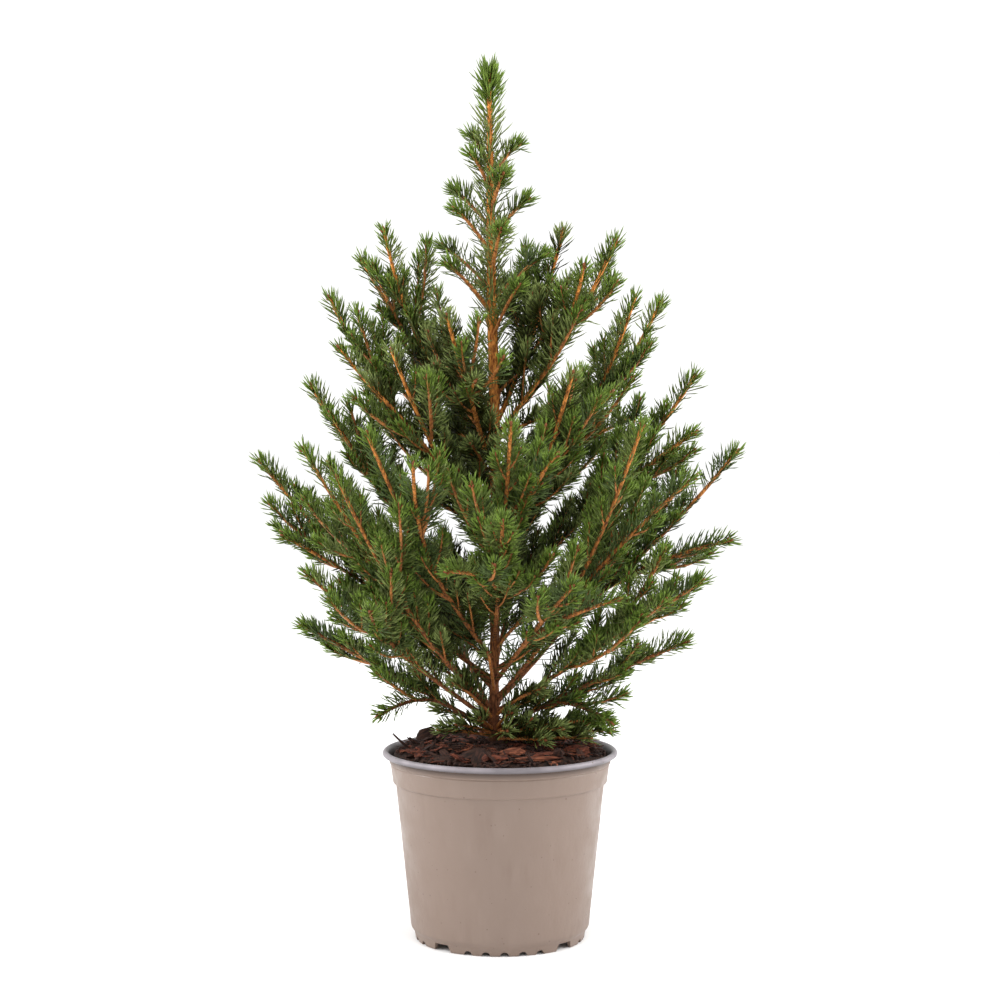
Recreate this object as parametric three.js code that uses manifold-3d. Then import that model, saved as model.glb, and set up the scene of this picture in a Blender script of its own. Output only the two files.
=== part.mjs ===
// A young dwarf spruce in a plastic nursery pot: the pot, the bark mulch it is filled with, one trunk that runs
// up through the crown to its tip, boughs that sweep up and out from it, and a mass of needled shoots on each bough.
// Millimetres, +Z up, +X to the right of the front view and +Y to the back. The origin is the middle of the pot's
// flat underside. Bearings are in degrees round the trunk: 0 right, 90 back, 180 left and 270 front.
import * as THREE from "three";
import { mergeVertices } from "three/addons/utils/BufferGeometryUtils.js";
import Module from "manifold-3d";

const wasm = await Module();
wasm.setup();

// The clearance that is left between pieces that touch.
const GAP = 0.3;

// Pot: outer radii and heights of its rim, collar, wall and foot.
const POT_HEIGHT = 105;
const POT_SIDES = 32;
const RIM_RADIUS = 65;
const RIM_DEPTH = 4;
const NECK_RADIUS = 62;
const COLLAR_TOP = { radius: 61.3, height: 97.6 };
const COLLAR_FOOT = { radius: 59.5, height: 88.2 };
const WALL_TOP = { radius: 57.7, height: 86.6 };
const WALL_FOOT = { radius: 49.4, height: 7 };
const FOOT_TOP = { radius: 47.6, height: 4.6 };
const FOOT_RADIUS = 46.8;
const POT_WALL = 1.5;
const BASE_THICKNESS = 1.6;

// Drain slots along the foot: one wide slot in each quarter, and a row of small arches between two wide ones.
const POT_TURN = 3;
const QUARTERS = 4;
const WIDE_SLOT = { width: 9, height: 3.4 };
const ARCH = { radius: 2.2, perQuarter: 5, step: 12.3, sides: 6 };
const SLOT_INNER_RADIUS = 44.6;
const SLOT_REACH = 6;

// Soil: a mound of bark mulch, a little under the rim at its edge, with chips of bark on it.
const SOIL_TOP = 108;
const SOIL_EDGE_HEIGHT = 98.5;
const SOIL_FLAT_RADIUS = 9;
const CHIP_COUNT = 9;
const CHIP_SIZE = { length: 15, width: 8, thickness: 2.6 };

// Trunk: places up the stem, as its height over the soil, how far it leans off the pot's axis, and its radius.
const TRUNK_SIDES = 8;
const TRUNK_STEPS = 16;
const TRUNK_HEIGHT = 366;
const TRUNK_COURSE = [
  { up: 0, x: -3, y: 0, radius: 6.6 },
  { up: 6, x: -3, y: 0, radius: 4.9 },
  { up: 25, x: -3.2, y: 0.3, radius: 4.1 },
  { up: 110, x: -2.4, y: 1.2, radius: 3.7 },
  { up: 190, x: -3.2, y: 0.4, radius: 3.4 },
  { up: 250, x: -4.6, y: -0.6, radius: 2.6 },
  { up: 320, x: -5.4, y: -0.2, radius: 1.9 },
  { up: TRUNK_HEIGHT, x: -6, y: 0, radius: 1.1 },
];

// Boughs, one row each: the height of the foot over the soil, then the tip of the main shoot and the tip of the
// fork, each as its bearing, its reach from the trunk and its height over the soil.
const BOUGHS = [
  [38, [178, 130, 156], [191, 117, 116]],
  [74, [166, 106, 198], [184, 90, 182]],
  [118, [171, 91, 246], [192, 85, 218]],
  [162, [160, 77, 268], [190, 59, 282]],
  [19, [222, 110, 150], [205, 112, 164]],
  [50, [231, 104, 173], [248, 110, 158]],
  [104, [225, 75, 216], [206, 78, 202]],
  [146, [243, 52, 234], [262, 68, 200]],
  [70, [275, 98, 178], [289, 98, 163]],
  [92, [301, 80, 204], [319, 82, 194]],
  [24, [313, 112, 178], [331, 120, 150]],
  [44, [3, 134, 161], [349, 129, 114]],
  [84, [16, 118, 203], [357, 110, 172]],
  [122, [25, 106, 245], [4, 79, 246]],
  [168, [350, 69, 276], [318, 66, 261]],
  [18, [336, 120, 94], [322, 112, 112]],
  [7, [350, 106, 58], [344, 66, 14]],
  [60, [272, 114, 130], [257, 110, 104]],
  [36, [291, 110, 96], [307, 106, 88]],
  [6, [186, 106, 66], [197, 66, 18]],
  [22, [42, 122, 128], [62, 120, 100]],
  [46, [78, 122, 160], [102, 118, 136]],
  [14, [112, 124, 112], [132, 118, 76]],
  [32, [144, 120, 152], [160, 114, 118]],
  [100, [58, 98, 206], [38, 102, 180]],
  [112, [120, 92, 220], [98, 96, 192]],
  [12, [207, 112, 98], [235, 112, 82]],
  [174, [18, 42, 283], [100, 50, 256]],
];
const BOUGH_BEND = { along: 0.58, flat: 0.82, steep: 0.32, fullRise: 140 };
const BARE_SHARE = 0.2;
const BOUGH_SIDES = 5;
const BOUGH_STEPS = 3;
const BOUGH_RADIUS = { foot: 2, tip: 1.4 };

// The rule by which a bough branches: one fork and a few side shoots, longer low down than near the tip.
const FORK = { from: 0.36, bend: 0.4 };
const SIDE_SHOOTS = [
  { on: "main", at: 0.33, flank: 1 },
  { on: "main", at: 0.6, flank: -1 },
  { on: "fork", at: 0.5, flank: 1 },
];
const SIDE_LENGTH = { least: 22, share: 0.35 };
const SIDE_ANGLE = { least: 34, spread: 14 };
const SIDE_ROLL = 38;
const SIDE_LIFT = 0.26;

// The leader, where needles stand on the trunk itself, with sprigs in a slow spiral round it.
const LEADER_FOOT = 192;
const SPRIG = { count: 15, foot: 224, step: 6.6, bearing: 288, turn: 144, wander: 20 };
const SPRIG_REACH = { low: 38, high: 12 };
const SPRIG_RISE = { low: 27, high: 19 };
const LEADER_STEP = 9.5;
const SLEEVE = 2.4;
const TOP_COVER = 8;

// A needled shoot: a slim core, and needles that stand out of it and lean forward to the tip.
const SHOOT_SIDES = 5;
const LEADER_SIDES = 7;
const RING_STEP = 12.5;
const FIRST_STEP = 5;
const CORE_RADIUS = 3.6;
const STEM_RADIUS = 1.4;
const NEEDLE = { reach: 11, lean: 7.5, spread: 0.24, wander: 0.4 };
const TIP_BRUSH = { reach: 7, lean: 9.5 };
const TIP_NEEDLE = 6;
const CELL_MARGIN = 1.3;
const TWIN_MARGIN = 3;
const LIMB_MARGIN = 0.9;
const LEAST_CORE = 1.1;
const LEAST_SHOOT = 16;

const SEED = 7;
const UP = new THREE.Vector3(0, 0, 1);
const radians = THREE.MathUtils.degToRad;

// A row of random numbers from 0 to 1 that is the same for the same seed.
function seeded(seed) {
  let state = (Math.imul(seed + SEED, 40503) + 12345) >>> 0;
  return () => {
    state = (Math.imul(state, 1664525) + 1013904223) >>> 0;
    return state / 2 ** 32;
  };
}

// A closed geometry as a solid, and a solid as a geometry.
function solidOf(geometry) {
  const bare = new THREE.BufferGeometry().setAttribute("position", geometry.getAttribute("position"));
  bare.setIndex(geometry.index);
  const merged = mergeVertices(bare, 1e-4);
  return new wasm.Manifold(
    new wasm.Mesh({
      numProp: 3,
      vertProperties: new Float32Array(merged.attributes.position.array),
      triVerts: new Uint32Array(merged.index.array),
    }),
  );
}

function geometryOf(solid) {
  const mesh = solid.getMesh();
  const geometry = new THREE.BufferGeometry();
  geometry.setAttribute("position", new THREE.BufferAttribute(Float32Array.from(mesh.vertProperties), 3));
  geometry.setIndex(new THREE.BufferAttribute(Uint32Array.from(mesh.triVerts), 1));
  geometry.computeVertexNormals();
  return geometry;
}

function fuse(solids) {
  return solids.reduce((whole, piece) => whole.add(piece));
}

// A closed skin over rings of points, capped by a fan to a point at each end. Where out(ring, side) is true the
// point stands out as a needle, and the faces beside it are split so that it stays sharp.
function skin(rings, first, last, out = () => false) {
  const sides = rings[0].length;
  const points = [first, ...rings.flat(), last];
  const index = [];
  const at = (ring, side) => 1 + ring * sides + (side % sides);
  for (let side = 0; side < sides; side++) {
    index.push(0, at(0, side + 1), at(0, side));
    index.push(points.length - 1, at(rings.length - 1, side), at(rings.length - 1, side + 1));
  }
  for (let ring = 0; ring + 1 < rings.length; ring++) {
    for (let side = 0; side < sides; side++) {
      const [a, b] = [at(ring, side), at(ring, side + 1)];
      const [d, c] = [at(ring + 1, side), at(ring + 1, side + 1)];
      if (out(ring, side) || out(ring + 1, (side + 1) % sides)) index.push(a, b, d, b, c, d);
      else index.push(a, b, c, a, c, d);
    }
  }
  const geometry = new THREE.BufferGeometry().setFromPoints(points);
  return geometry.setIndex(index);
}

// The frame that goes with a point of a curve that lies in one plane: along it, in the plane and across it.
function frameAt(curve, t, across) {
  const along = curve.getTangent(t);
  const inPlane = new THREE.Vector3().crossVectors(across, along).normalize();
  return { point: curve.getPoint(t), along, inPlane };
}

function planeNormal(curve) {
  const normal = new THREE.Vector3().crossVectors(curve.getTangent(0), curve.getTangent(1));
  if (normal.length() < 1e-4) normal.crossVectors(curve.getTangent(0.5), UP);
  return normal.normalize();
}

function ringPoint({ point, inPlane }, across, angle, radius) {
  return point
    .clone()
    .addScaledVector(inPlane, radius * Math.cos(angle))
    .addScaledVector(across, radius * Math.sin(angle));
}

// A bare tapering limb along a curve, from one share of its length to another.
function limb(curve, across, from, to, steps, sides, radiusAt) {
  const rings = [];
  for (let step = 0; step <= steps; step++) {
    const t = from + ((to - from) * step) / steps;
    const frame = frameAt(curve, t, across);
    const radius = radiusAt(t);
    const ring = [];
    for (let side = 0; side < sides; side++) {
      ring.push(ringPoint(frame, across, (2 * Math.PI * side) / sides, radius));
    }
    rings.push(ring);
  }
  return solidOf(skin(rings, curve.getPoint(from), curve.getPoint(to)));
}

// Trunk: one smooth course through its places, each with its radius.
const trunkCurve = new THREE.CatmullRomCurve3(
  TRUNK_COURSE.map(({ up, x, y }) => new THREE.Vector3(x, y, SOIL_TOP + GAP + up)),
);
const TRUNK_ACROSS = new THREE.Vector3(0, -1, 0);

function trunkRadius(up) {
  const next = Math.max(1, TRUNK_COURSE.findIndex((place) => place.up >= up - 1e-6));
  const [low, high] = [TRUNK_COURSE[next - 1], TRUNK_COURSE[next]];
  const share = THREE.MathUtils.clamp((up - low.up) / (high.up - low.up), 0, 1);
  return THREE.MathUtils.lerp(low.radius, high.radius, share);
}

function trunkPlace(up) {
  const next = Math.max(1, TRUNK_COURSE.findIndex((place) => place.up >= up - 1e-6));
  const share = (up - TRUNK_COURSE[next - 1].up) / (TRUNK_COURSE[next].up - TRUNK_COURSE[next - 1].up);
  return trunkCurve.getPoint((next - 1 + share) / (TRUNK_COURSE.length - 1));
}

function trunkSolid(extra) {
  const heights = [0, 3, 6, 12];
  for (let step = 1; step <= TRUNK_STEPS; step++) {
    heights.push(12 + ((TRUNK_HEIGHT - 12) * step) / TRUNK_STEPS);
  }
  const rings = heights.map((up) => {
    const centre = trunkPlace(up);
    const ring = [];
    for (let side = 0; side < TRUNK_SIDES; side++) {
      const angle = (2 * Math.PI * side) / TRUNK_SIDES;
      const radius = trunkRadius(up) + extra;
      ring.push(new THREE.Vector3(centre.x + radius * Math.cos(angle), centre.y + radius * Math.sin(angle), centre.z));
    }
    return ring;
  });
  const foot = trunkPlace(0);
  const top = trunkPlace(TRUNK_HEIGHT);
  if (extra) top.z += extra;
  return solidOf(skin(rings, foot, top));
}

// A point at a bearing round the trunk, at a height over the soil.
function roundTrunk(bearing, reach, up) {
  const trunk = trunkPlace(THREE.MathUtils.clamp(up, 0, TRUNK_HEIGHT));
  const turn = radians(bearing);
  return new THREE.Vector3(
    trunk.x + reach * Math.cos(turn),
    trunk.y + reach * Math.sin(turn),
    SOIL_TOP + GAP + up,
  );
}

// A bough's course: it leaves the trunk low and sweeps up to its tip.
function boughCurve(foot, [bearing, reach, tip]) {
  const start = trunkPlace(foot);
  const end = roundTrunk(bearing, reach, tip);
  const steepness = Math.min(1, (tip - foot) / BOUGH_BEND.fullRise);
  const share = THREE.MathUtils.lerp(BOUGH_BEND.flat, BOUGH_BEND.steep, steepness);
  const bend = roundTrunk(bearing, reach * BOUGH_BEND.along, foot + (tip - foot) * share);
  return new THREE.QuadraticBezierCurve3(start, bend, end);
}

// A fork that ends nearer the trunk than its bough leaves the bough nearer the trunk too.
function forkCurve(main, mainReach, [bearing, reach, tip]) {
  const from = FORK.from * Math.min(1, reach / mainReach);
  const start = main.getPoint(from);
  const end = roundTrunk(bearing, reach, tip);
  const bend = start.clone().addScaledVector(main.getTangent(from), start.distanceTo(end) * FORK.bend);
  return new THREE.QuadraticBezierCurve3(start, bend, end);
}

function sideCurve(parent, at, flank, draw) {
  const across = planeNormal(parent);
  const { point, along, inPlane } = frameAt(parent, at, across);
  const angle = radians(SIDE_ANGLE.least + SIDE_ANGLE.spread * draw());
  const roll = radians(SIDE_ROLL * (2 * draw() - 1));
  const length = SIDE_LENGTH.least + SIDE_LENGTH.share * parent.getLength() * (1 - at) * (0.8 + 0.4 * draw());
  const outward = across
    .clone()
    .multiplyScalar(flank * Math.cos(roll))
    .addScaledVector(inPlane, Math.sin(roll));
  const away = along.clone().multiplyScalar(Math.cos(angle)).addScaledVector(outward, Math.sin(angle));
  const bend = point.clone().addScaledVector(away, length * 0.5);
  const end = bend.clone().addScaledVector(away, length * 0.3).addScaledVector(along, length * 0.2);
  end.addScaledVector(UP, length * SIDE_LIFT);
  return new THREE.QuadraticBezierCurve3(point, bend, end);
}

// A shoot of a mass: its curve and the share of it that bears needles.
function shootOf(mass, curve, from, strong) {
  const across = planeNormal(curve);
  const pieces = Math.max(2, Math.round((curve.getLength() * (1 - from)) / 6));
  const axis = [];
  for (let piece = 0; piece <= pieces; piece++) axis.push(curve.getPoint(from + ((1 - from) * piece) / pieces));
  return { mass, curve, across, from, axis, strong };
}

function distanceToLine(point, line) {
  let nearest = Infinity;
  for (let piece = 0; piece + 1 < line.length; piece++) {
    const [a, b] = [line[piece], line[piece + 1]];
    const [dx, dy, dz] = [b.x - a.x, b.y - a.y, b.z - a.z];
    const [px, py, pz] = [point.x - a.x, point.y - a.y, point.z - a.z];
    const share = THREE.MathUtils.clamp((px * dx + py * dy + pz * dz) / (dx * dx + dy * dy + dz * dz), 0, 1);
    nearest = Math.min(nearest, Math.hypot(px - dx * share, py - dy * share, pz - dz * share));
  }
  return nearest;
}

// The plan of the crown: every mass's main shoot and fork first, then the side shoots that find room.
const limbs = [];
const shoots = [];

function addLimb(name, line, radius) {
  limbs.push({ name, line, radius });
}

function roomRound(point, mass) {
  let room = Infinity;
  for (const other of shoots) {
    if (other.mass !== mass) room = Math.min(room, distanceToLine(point, other.axis) / 2);
  }
  for (const other of limbs) {
    if (other.name !== mass) room = Math.min(room, distanceToLine(point, other.line) - other.radius - LIMB_MARGIN);
  }
  return room;
}

function tryShoot(mass, curve, from, strong) {
  const shoot = shootOf(mass, curve, from, strong);
  const skip = strong ? 0 : 2;
  const fits = shoot.axis.every((point, place) => place < skip || roomRound(point, mass) > CORE_RADIUS);
  if (fits || strong) shoots.push(shoot);
  return fits;
}

// Half a curve, for a side shoot that has no room at its full length.
function shortened(curve, share) {
  const end = curve.getPoint(share);
  const bend = curve.v0.clone().lerp(curve.v1, share);
  return new THREE.QuadraticBezierCurve3(curve.v0, bend, end);
}

const trunkLine = [];
for (let up = 0; up <= TRUNK_HEIGHT; up += 6) trunkLine.push(trunkPlace(up));
addLimb("trunk", trunkLine, 4.3);

const boughs = BOUGHS.map(([foot, mainTip, forkTip], row) => {
  const number = String(row + 1).padStart(2, "0");
  const mass = "foliage_" + number;
  const main = boughCurve(foot, mainTip);
  const fork = forkCurve(main, mainTip[1], forkTip);
  const bareLine = [0, 0.25, 0.5, 0.75, 1].map((share) => main.getPoint(share * BARE_SHARE));
  addLimb(mass, bareLine, BOUGH_RADIUS.foot);
  const start = BARE_SHARE + GAP / main.getLength();
  tryShoot(mass, main, start, true);
  tryShoot(mass, fork, 0, true);
  return { number, mass, main, fork, draw: seeded(row) };
});

const leaderAxis = [];
for (let up = LEADER_FOOT; up <= TRUNK_HEIGHT; up += 5) leaderAxis.push(trunkPlace(up));
shoots.push({ mass: "leader", axis: leaderAxis });

for (let sprig = 0; sprig < SPRIG.count; sprig++) {
  const draw = seeded(100 + sprig);
  const share = sprig / (SPRIG.count - 1);
  const foot = SPRIG.foot + SPRIG.step * sprig;
  const bearing = SPRIG.bearing + SPRIG.turn * sprig + SPRIG.wander * (draw() - 0.5);
  const reach = THREE.MathUtils.lerp(SPRIG_REACH.low, SPRIG_REACH.high, share) * (0.85 + 0.3 * draw());
  const rise = THREE.MathUtils.lerp(SPRIG_RISE.low, SPRIG_RISE.high, share);
  const curve = boughCurve(foot, [bearing, reach, foot + rise]);
  const outside = (trunkRadius(foot) + 2 * GAP) / curve.getLength();
  shoots.push(shootOf("leader", curve, outside, false));
}

for (const { on, at, flank } of SIDE_SHOOTS) {
  for (const bough of boughs) {
    const curve = sideCurve(bough[on], at, flank, bough.draw);
    for (const share of [1, 0.8, 0.62]) {
      const shorter = shortened(curve, share);
      if (shorter.getLength() >= LEAST_SHOOT && tryShoot(bough.mass, shorter, 0, false)) break;
    }
  }
}

// True where a point of a needle keeps to its own shoot's space and clear of every limb.
function inOwnSpace(point, shoot) {
  const own = distanceToLine(point, shoot.axis);
  const apart = shoots.every((other) => {
    if (other === shoot) return true;
    const margin = other.mass === shoot.mass ? TWIN_MARGIN : CELL_MARGIN;
    return distanceToLine(point, other.axis) > own + margin;
  });
  const clear = limbs.every(({ line, radius }) => distanceToLine(point, line) > radius + LIMB_MARGIN);
  return apart && clear && point.z > SOIL_TOP + CELL_MARGIN;
}

// A slim core through a row of frames, with every other point of its rings drawn out as a needle.
function needled(shoot, sides, frames, across, cores, tip, draw) {
  const rings = [];
  const isOut = [];
  frames.forEach((frame, ring) => {
    const { reach, lean } = ring === frames.length - 1 ? TIP_BRUSH : NEEDLE;
    const points = [];
    const outs = [];
    for (let side = 0; side < sides; side++) {
      const angle = (2 * Math.PI * (side + NEEDLE.wander * (draw() - 0.5))) / sides;
      const radius = Math.max(reach, cores[ring] + reach / 2) * (1 + NEEDLE.spread * (draw() - 0.5));
      const needle = ringPoint(frame, across, angle, radius).addScaledVector(frame.along, lean);
      const middle = frame.point.clone().lerp(needle, 0.6);
      const wanted = ring > 0 && (ring + side) % 2 === 0;
      const stands = wanted && inOwnSpace(needle, shoot) && inOwnSpace(middle, shoot);
      outs.push(stands);
      points.push(stands ? needle : ringPoint(frame, across, angle, cores[ring]));
    }
    rings.push(points);
    isOut.push(outs);
  });
  return solidOf(skin(rings, frames[0].point, tip, (ring, side) => isOut[ring][side]));
}

// How far the core may swell beside the shoots that its own shoot springs from.
function roomBesideTwins(point, shoot) {
  const elder = shoots.slice(0, shoots.indexOf(shoot)).filter(({ mass }) => mass === shoot.mass);
  return Math.min(...elder.map(({ axis }) => distanceToLine(point, axis) - CORE_RADIUS), CORE_RADIUS);
}

// The core keeps within the room round the shoot, and thins to the stem's size at its foot.
function needledShoot(shoot, draw) {
  const { mass, curve, across, from } = shoot;
  const first = from > 0 ? FIRST_STEP : RING_STEP;
  const length = curve.getLength() * (1 - from) - first;
  const count = 1 + Math.max(1, Math.round(length / RING_STEP));
  const frames = [];
  const cores = [];
  for (let ring = 0; ring <= count; ring++) {
    const along = ring === 0 ? 0 : first + (length * (ring - 1)) / (count - 1);
    const frame = frameAt(curve, from + (along / (length + first)) * (1 - from), across);
    const wanted = ring === 0 ? STEM_RADIUS : ring === count ? CORE_RADIUS * 0.6 : CORE_RADIUS;
    const room = Math.min(roomRound(frame.point, mass) - GAP, roomBesideTwins(frame.point, shoot));
    frames.push(frame);
    cores.push(Math.max(LEAST_CORE, Math.min(wanted, room)));
  }
  const { point, along } = frames[count];
  return needled(shoot, SHOOT_SIDES, frames, across, cores, point.clone().addScaledVector(along, TIP_NEEDLE), draw);
}

// The leader's needles stand on a sleeve round the trunk, and close over the trunk's tip.
function needledLeader(shoot, draw) {
  const top = TRUNK_HEIGHT + TOP_COVER;
  const count = Math.round((top - LEADER_FOOT) / LEADER_STEP);
  const frames = [];
  const cores = [];
  for (let ring = 0; ring <= count; ring++) {
    const up = LEADER_FOOT + ((top - LEADER_FOOT) * ring) / count;
    const point = trunkPlace(Math.min(up, TRUNK_HEIGHT));
    point.z = SOIL_TOP + GAP + up;
    frames.push({ point, along: UP, inPlane: new THREE.Vector3(-1, 0, 0) });
    cores.push(trunkRadius(Math.min(up, TRUNK_HEIGHT)) + (ring === 0 ? 1 : SLEEVE));
  }
  const tip = frames[count].point.clone().addScaledVector(UP, TIP_NEEDLE);
  return needled(shoot, LEADER_SIDES, frames, TRUNK_ACROSS, cores, tip, draw);
}

// The pot: one turned shell with its drain slots cut through the foot.
function turned(profile) {
  const points = profile.map(([radius, height]) => new THREE.Vector2(radius, height));
  return solidOf(new THREE.LatheGeometry(points, POT_SIDES).rotateX(Math.PI / 2));
}

function potSolid() {
  const rimFoot = POT_HEIGHT - RIM_DEPTH;
  const shell = turned([
    [0, 0],
    [FOOT_RADIUS, 0],
    [FOOT_TOP.radius, FOOT_TOP.height],
    [WALL_FOOT.radius, WALL_FOOT.height],
    [WALL_TOP.radius, WALL_TOP.height],
    [COLLAR_FOOT.radius, COLLAR_FOOT.height],
    [COLLAR_TOP.radius, COLLAR_TOP.height],
    [NECK_RADIUS, rimFoot],
    [RIM_RADIUS - 0.6, rimFoot],
    [RIM_RADIUS, rimFoot + 1.6],
    [RIM_RADIUS - 0.7, POT_HEIGHT - 0.4],
    [RIM_RADIUS - 2.4, POT_HEIGHT],
    [COLLAR_TOP.radius - POT_WALL, COLLAR_TOP.height],
    [WALL_TOP.radius - POT_WALL, WALL_TOP.height],
    [WALL_FOOT.radius - 2 * POT_WALL, BASE_THICKNESS],
    [0, BASE_THICKNESS],
  ]);
  const cutters = [];
  for (let quarter = 0; quarter < QUARTERS; quarter++) {
    const turn = 45 + 90 * quarter + POT_TURN;
    const slot = new THREE.BoxGeometry(SLOT_REACH, WIDE_SLOT.width, WIDE_SLOT.height * 2);
    cutters.push(placeAtFoot(slot, turn));
    for (let arch = 0; arch < ARCH.perQuarter; arch++) {
      const middle = (arch - (ARCH.perQuarter - 1) / 2) * ARCH.step;
      const tube = new THREE.CylinderGeometry(ARCH.radius, ARCH.radius, SLOT_REACH, ARCH.sides).rotateZ(Math.PI / 2);
      cutters.push(placeAtFoot(tube, turn + 45 + middle));
    }
  }
  return cutters.reduce((whole, cutter) => whole.subtract(cutter), shell);
}

function placeAtFoot(geometry, turn) {
  geometry.translate(SLOT_INNER_RADIUS + SLOT_REACH / 2, 0, 0).rotateZ(radians(turn));
  return solidOf(geometry);
}

// The soil fills the pot just clear of its inner wall, and carries bark chips that are sunk into it.
function soilSolid() {
  const mound = turned([
    [0, BASE_THICKNESS + GAP],
    [WALL_FOOT.radius - 2 * POT_WALL - GAP, BASE_THICKNESS + GAP],
    [WALL_TOP.radius - POT_WALL - GAP, WALL_TOP.height],
    [COLLAR_TOP.radius - POT_WALL - GAP, SOIL_EDGE_HEIGHT - 1],
    [COLLAR_TOP.radius - 8, SOIL_EDGE_HEIGHT + 2.5],
    [34, SOIL_TOP - 2.2],
    [SOIL_FLAT_RADIUS, SOIL_TOP],
    [0, SOIL_TOP],
  ]);
  const draw = seeded(300);
  const chips = [];
  for (let chip = 0; chip < CHIP_COUNT; chip++) {
    const size = 0.7 + 0.5 * draw();
    const geometry = new THREE.BoxGeometry(
      CHIP_SIZE.length * size,
      CHIP_SIZE.width * size,
      CHIP_SIZE.thickness,
    );
    geometry.rotateX(radians(24 * (draw() - 0.5))).rotateZ(Math.PI * draw());
    const bearing = (360 / CHIP_COUNT) * (chip + 0.5 * draw());
    const reach = 26 + 16 * draw();
    const height = SOIL_TOP - 2.2 - (reach - 34) * 0.16;
    const turn = radians(bearing);
    geometry.translate(reach * Math.cos(turn), reach * Math.sin(turn), height);
    chips.push(solidOf(geometry));
  }
  return fuse([mound, ...chips]);
}

// Materials.
const taupePlastic = new THREE.MeshStandardMaterial({ color: 0xa08c80, roughness: 0.55, metalness: 0 });
const barkMulch = new THREE.MeshStandardMaterial({ color: 0x4a2d22, roughness: 0.95, metalness: 0 });
const bark = new THREE.MeshStandardMaterial({ color: 0x8a5a3c, roughness: 0.85, metalness: 0 });
const needles = new THREE.MeshStandardMaterial({ color: 0x4f6a34, roughness: 0.6, metalness: 0 });

const plant = new THREE.Group();

function addPiece(name, solid, material) {
  const piece = new THREE.Mesh(geometryOf(solid), material);
  piece.name = name;
  plant.add(piece);
}

addPiece("pot", potSolid(), taupePlastic);
addPiece("soil", soilSolid(), barkMulch);
addPiece("trunk", trunkSolid(0), bark);

const trunkBore = trunkSolid(GAP);
for (const { number, main } of boughs) {
  const radiusAt = (t) => THREE.MathUtils.lerp(BOUGH_RADIUS.foot, BOUGH_RADIUS.tip, t / BARE_SHARE);
  const whole = limb(main, planeNormal(main), 0, BARE_SHARE, BOUGH_STEPS, BOUGH_SIDES, radiusAt);
  addPiece("bough_" + number, whole.subtract(trunkBore), bark);
}

for (const mass of new Set(shoots.map((shoot) => shoot.mass))) {
  const draw = seeded(500 + plant.children.length);
  const own = shoots.filter((shoot) => shoot.mass === mass);
  const whole = fuse(own.map((shoot) => (shoot.curve ? needledShoot(shoot, draw) : needledLeader(shoot, draw))));
  addPiece(mass, mass.startsWith("foliage") ? whole : whole.subtract(trunkBore), needles);
}

export default plant;
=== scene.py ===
"""A young dwarf spruce in a plastic nursery pot.

The pot, the bark mulch, the trunk with its boughs, the twigs and the needles are each made here and stand for
the solids of the same part. The crown grows by the same rule as the solids: the same boughs, forks and side
shoots, and then finer twigs, buds and needles on them.
"""

import math
from dataclasses import dataclass

import bpy
import numpy as np
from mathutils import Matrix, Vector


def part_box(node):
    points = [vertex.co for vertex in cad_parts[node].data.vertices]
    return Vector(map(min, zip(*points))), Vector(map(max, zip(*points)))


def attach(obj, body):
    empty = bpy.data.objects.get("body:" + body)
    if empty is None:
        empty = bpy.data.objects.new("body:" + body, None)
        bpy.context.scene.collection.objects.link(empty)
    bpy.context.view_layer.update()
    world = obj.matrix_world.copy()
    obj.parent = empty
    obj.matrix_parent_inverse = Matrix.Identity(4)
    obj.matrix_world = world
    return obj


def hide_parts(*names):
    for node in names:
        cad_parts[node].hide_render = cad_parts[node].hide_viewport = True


bl_info = {
    "name": "Potted dwarf spruce",
    "version": (1, 0, 0),
    "blender": (4, 5, 0),
    "location": "3D View > Sidebar > Spruce",
    "description": "Makes a young dwarf spruce in a plastic nursery pot, and a plain stage to show it on",
    "category": "Add Mesh",
}

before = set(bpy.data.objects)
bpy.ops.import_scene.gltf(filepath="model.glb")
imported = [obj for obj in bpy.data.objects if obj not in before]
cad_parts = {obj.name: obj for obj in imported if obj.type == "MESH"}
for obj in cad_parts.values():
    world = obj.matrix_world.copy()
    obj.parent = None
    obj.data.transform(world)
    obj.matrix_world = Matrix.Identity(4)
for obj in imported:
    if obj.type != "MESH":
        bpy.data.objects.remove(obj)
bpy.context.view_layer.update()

# Lengths in the tables and the growth below are in millimetres, and MM turns them into metres.
MM = 0.001
POT_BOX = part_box("pot")
RIM_RADIUS = POT_BOX[1].x / MM
POT_HEIGHT = POT_BOX[1].z / MM
CROWN_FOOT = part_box("trunk")[0].z / MM
FOLIAGE_NODES = sorted(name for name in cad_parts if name.startswith("foliage") or name == "leader")
BOUGH_NODES = sorted(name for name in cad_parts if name.startswith("bough"))

# Pot: its outer and inner profile as radius and height, and how far each corner is rounded.
POT_SIDES = 192
POT_PROFILE = [
    (44.9, 3.4, 0.6),
    (45.1, 0.0, 0.5),
    (46.8, 0.0, 0.6),
    (47.6, 4.6, 1.0),
    (49.4, 7.0, 1.2),
    (57.8, 86.8, 0.3),
    (59.3, 87.3, 0.4),
    (60.6, 97.0, 0.3),
    (60.3, 97.5, 0.2),
    (61.3, 98.1, 0.4),
    (61.2, 101.7, 0.5),
    (63.9, 101.6, 0.6),
    (RIM_RADIUS, 102.3, 0.9),
    (RIM_RADIUS, POT_HEIGHT - 1.1, 0.9),
    (RIM_RADIUS - 1.2, POT_HEIGHT, 1.0),
    (RIM_RADIUS - 2.8, POT_HEIGHT - 0.4, 1.0),
    (60.1, 98.9, 0.9),
    (56.3, 86.8, 0.6),
    (46.6, 6.4, 1.0),
    (2.0, 5.6, 0.2),
]
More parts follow.
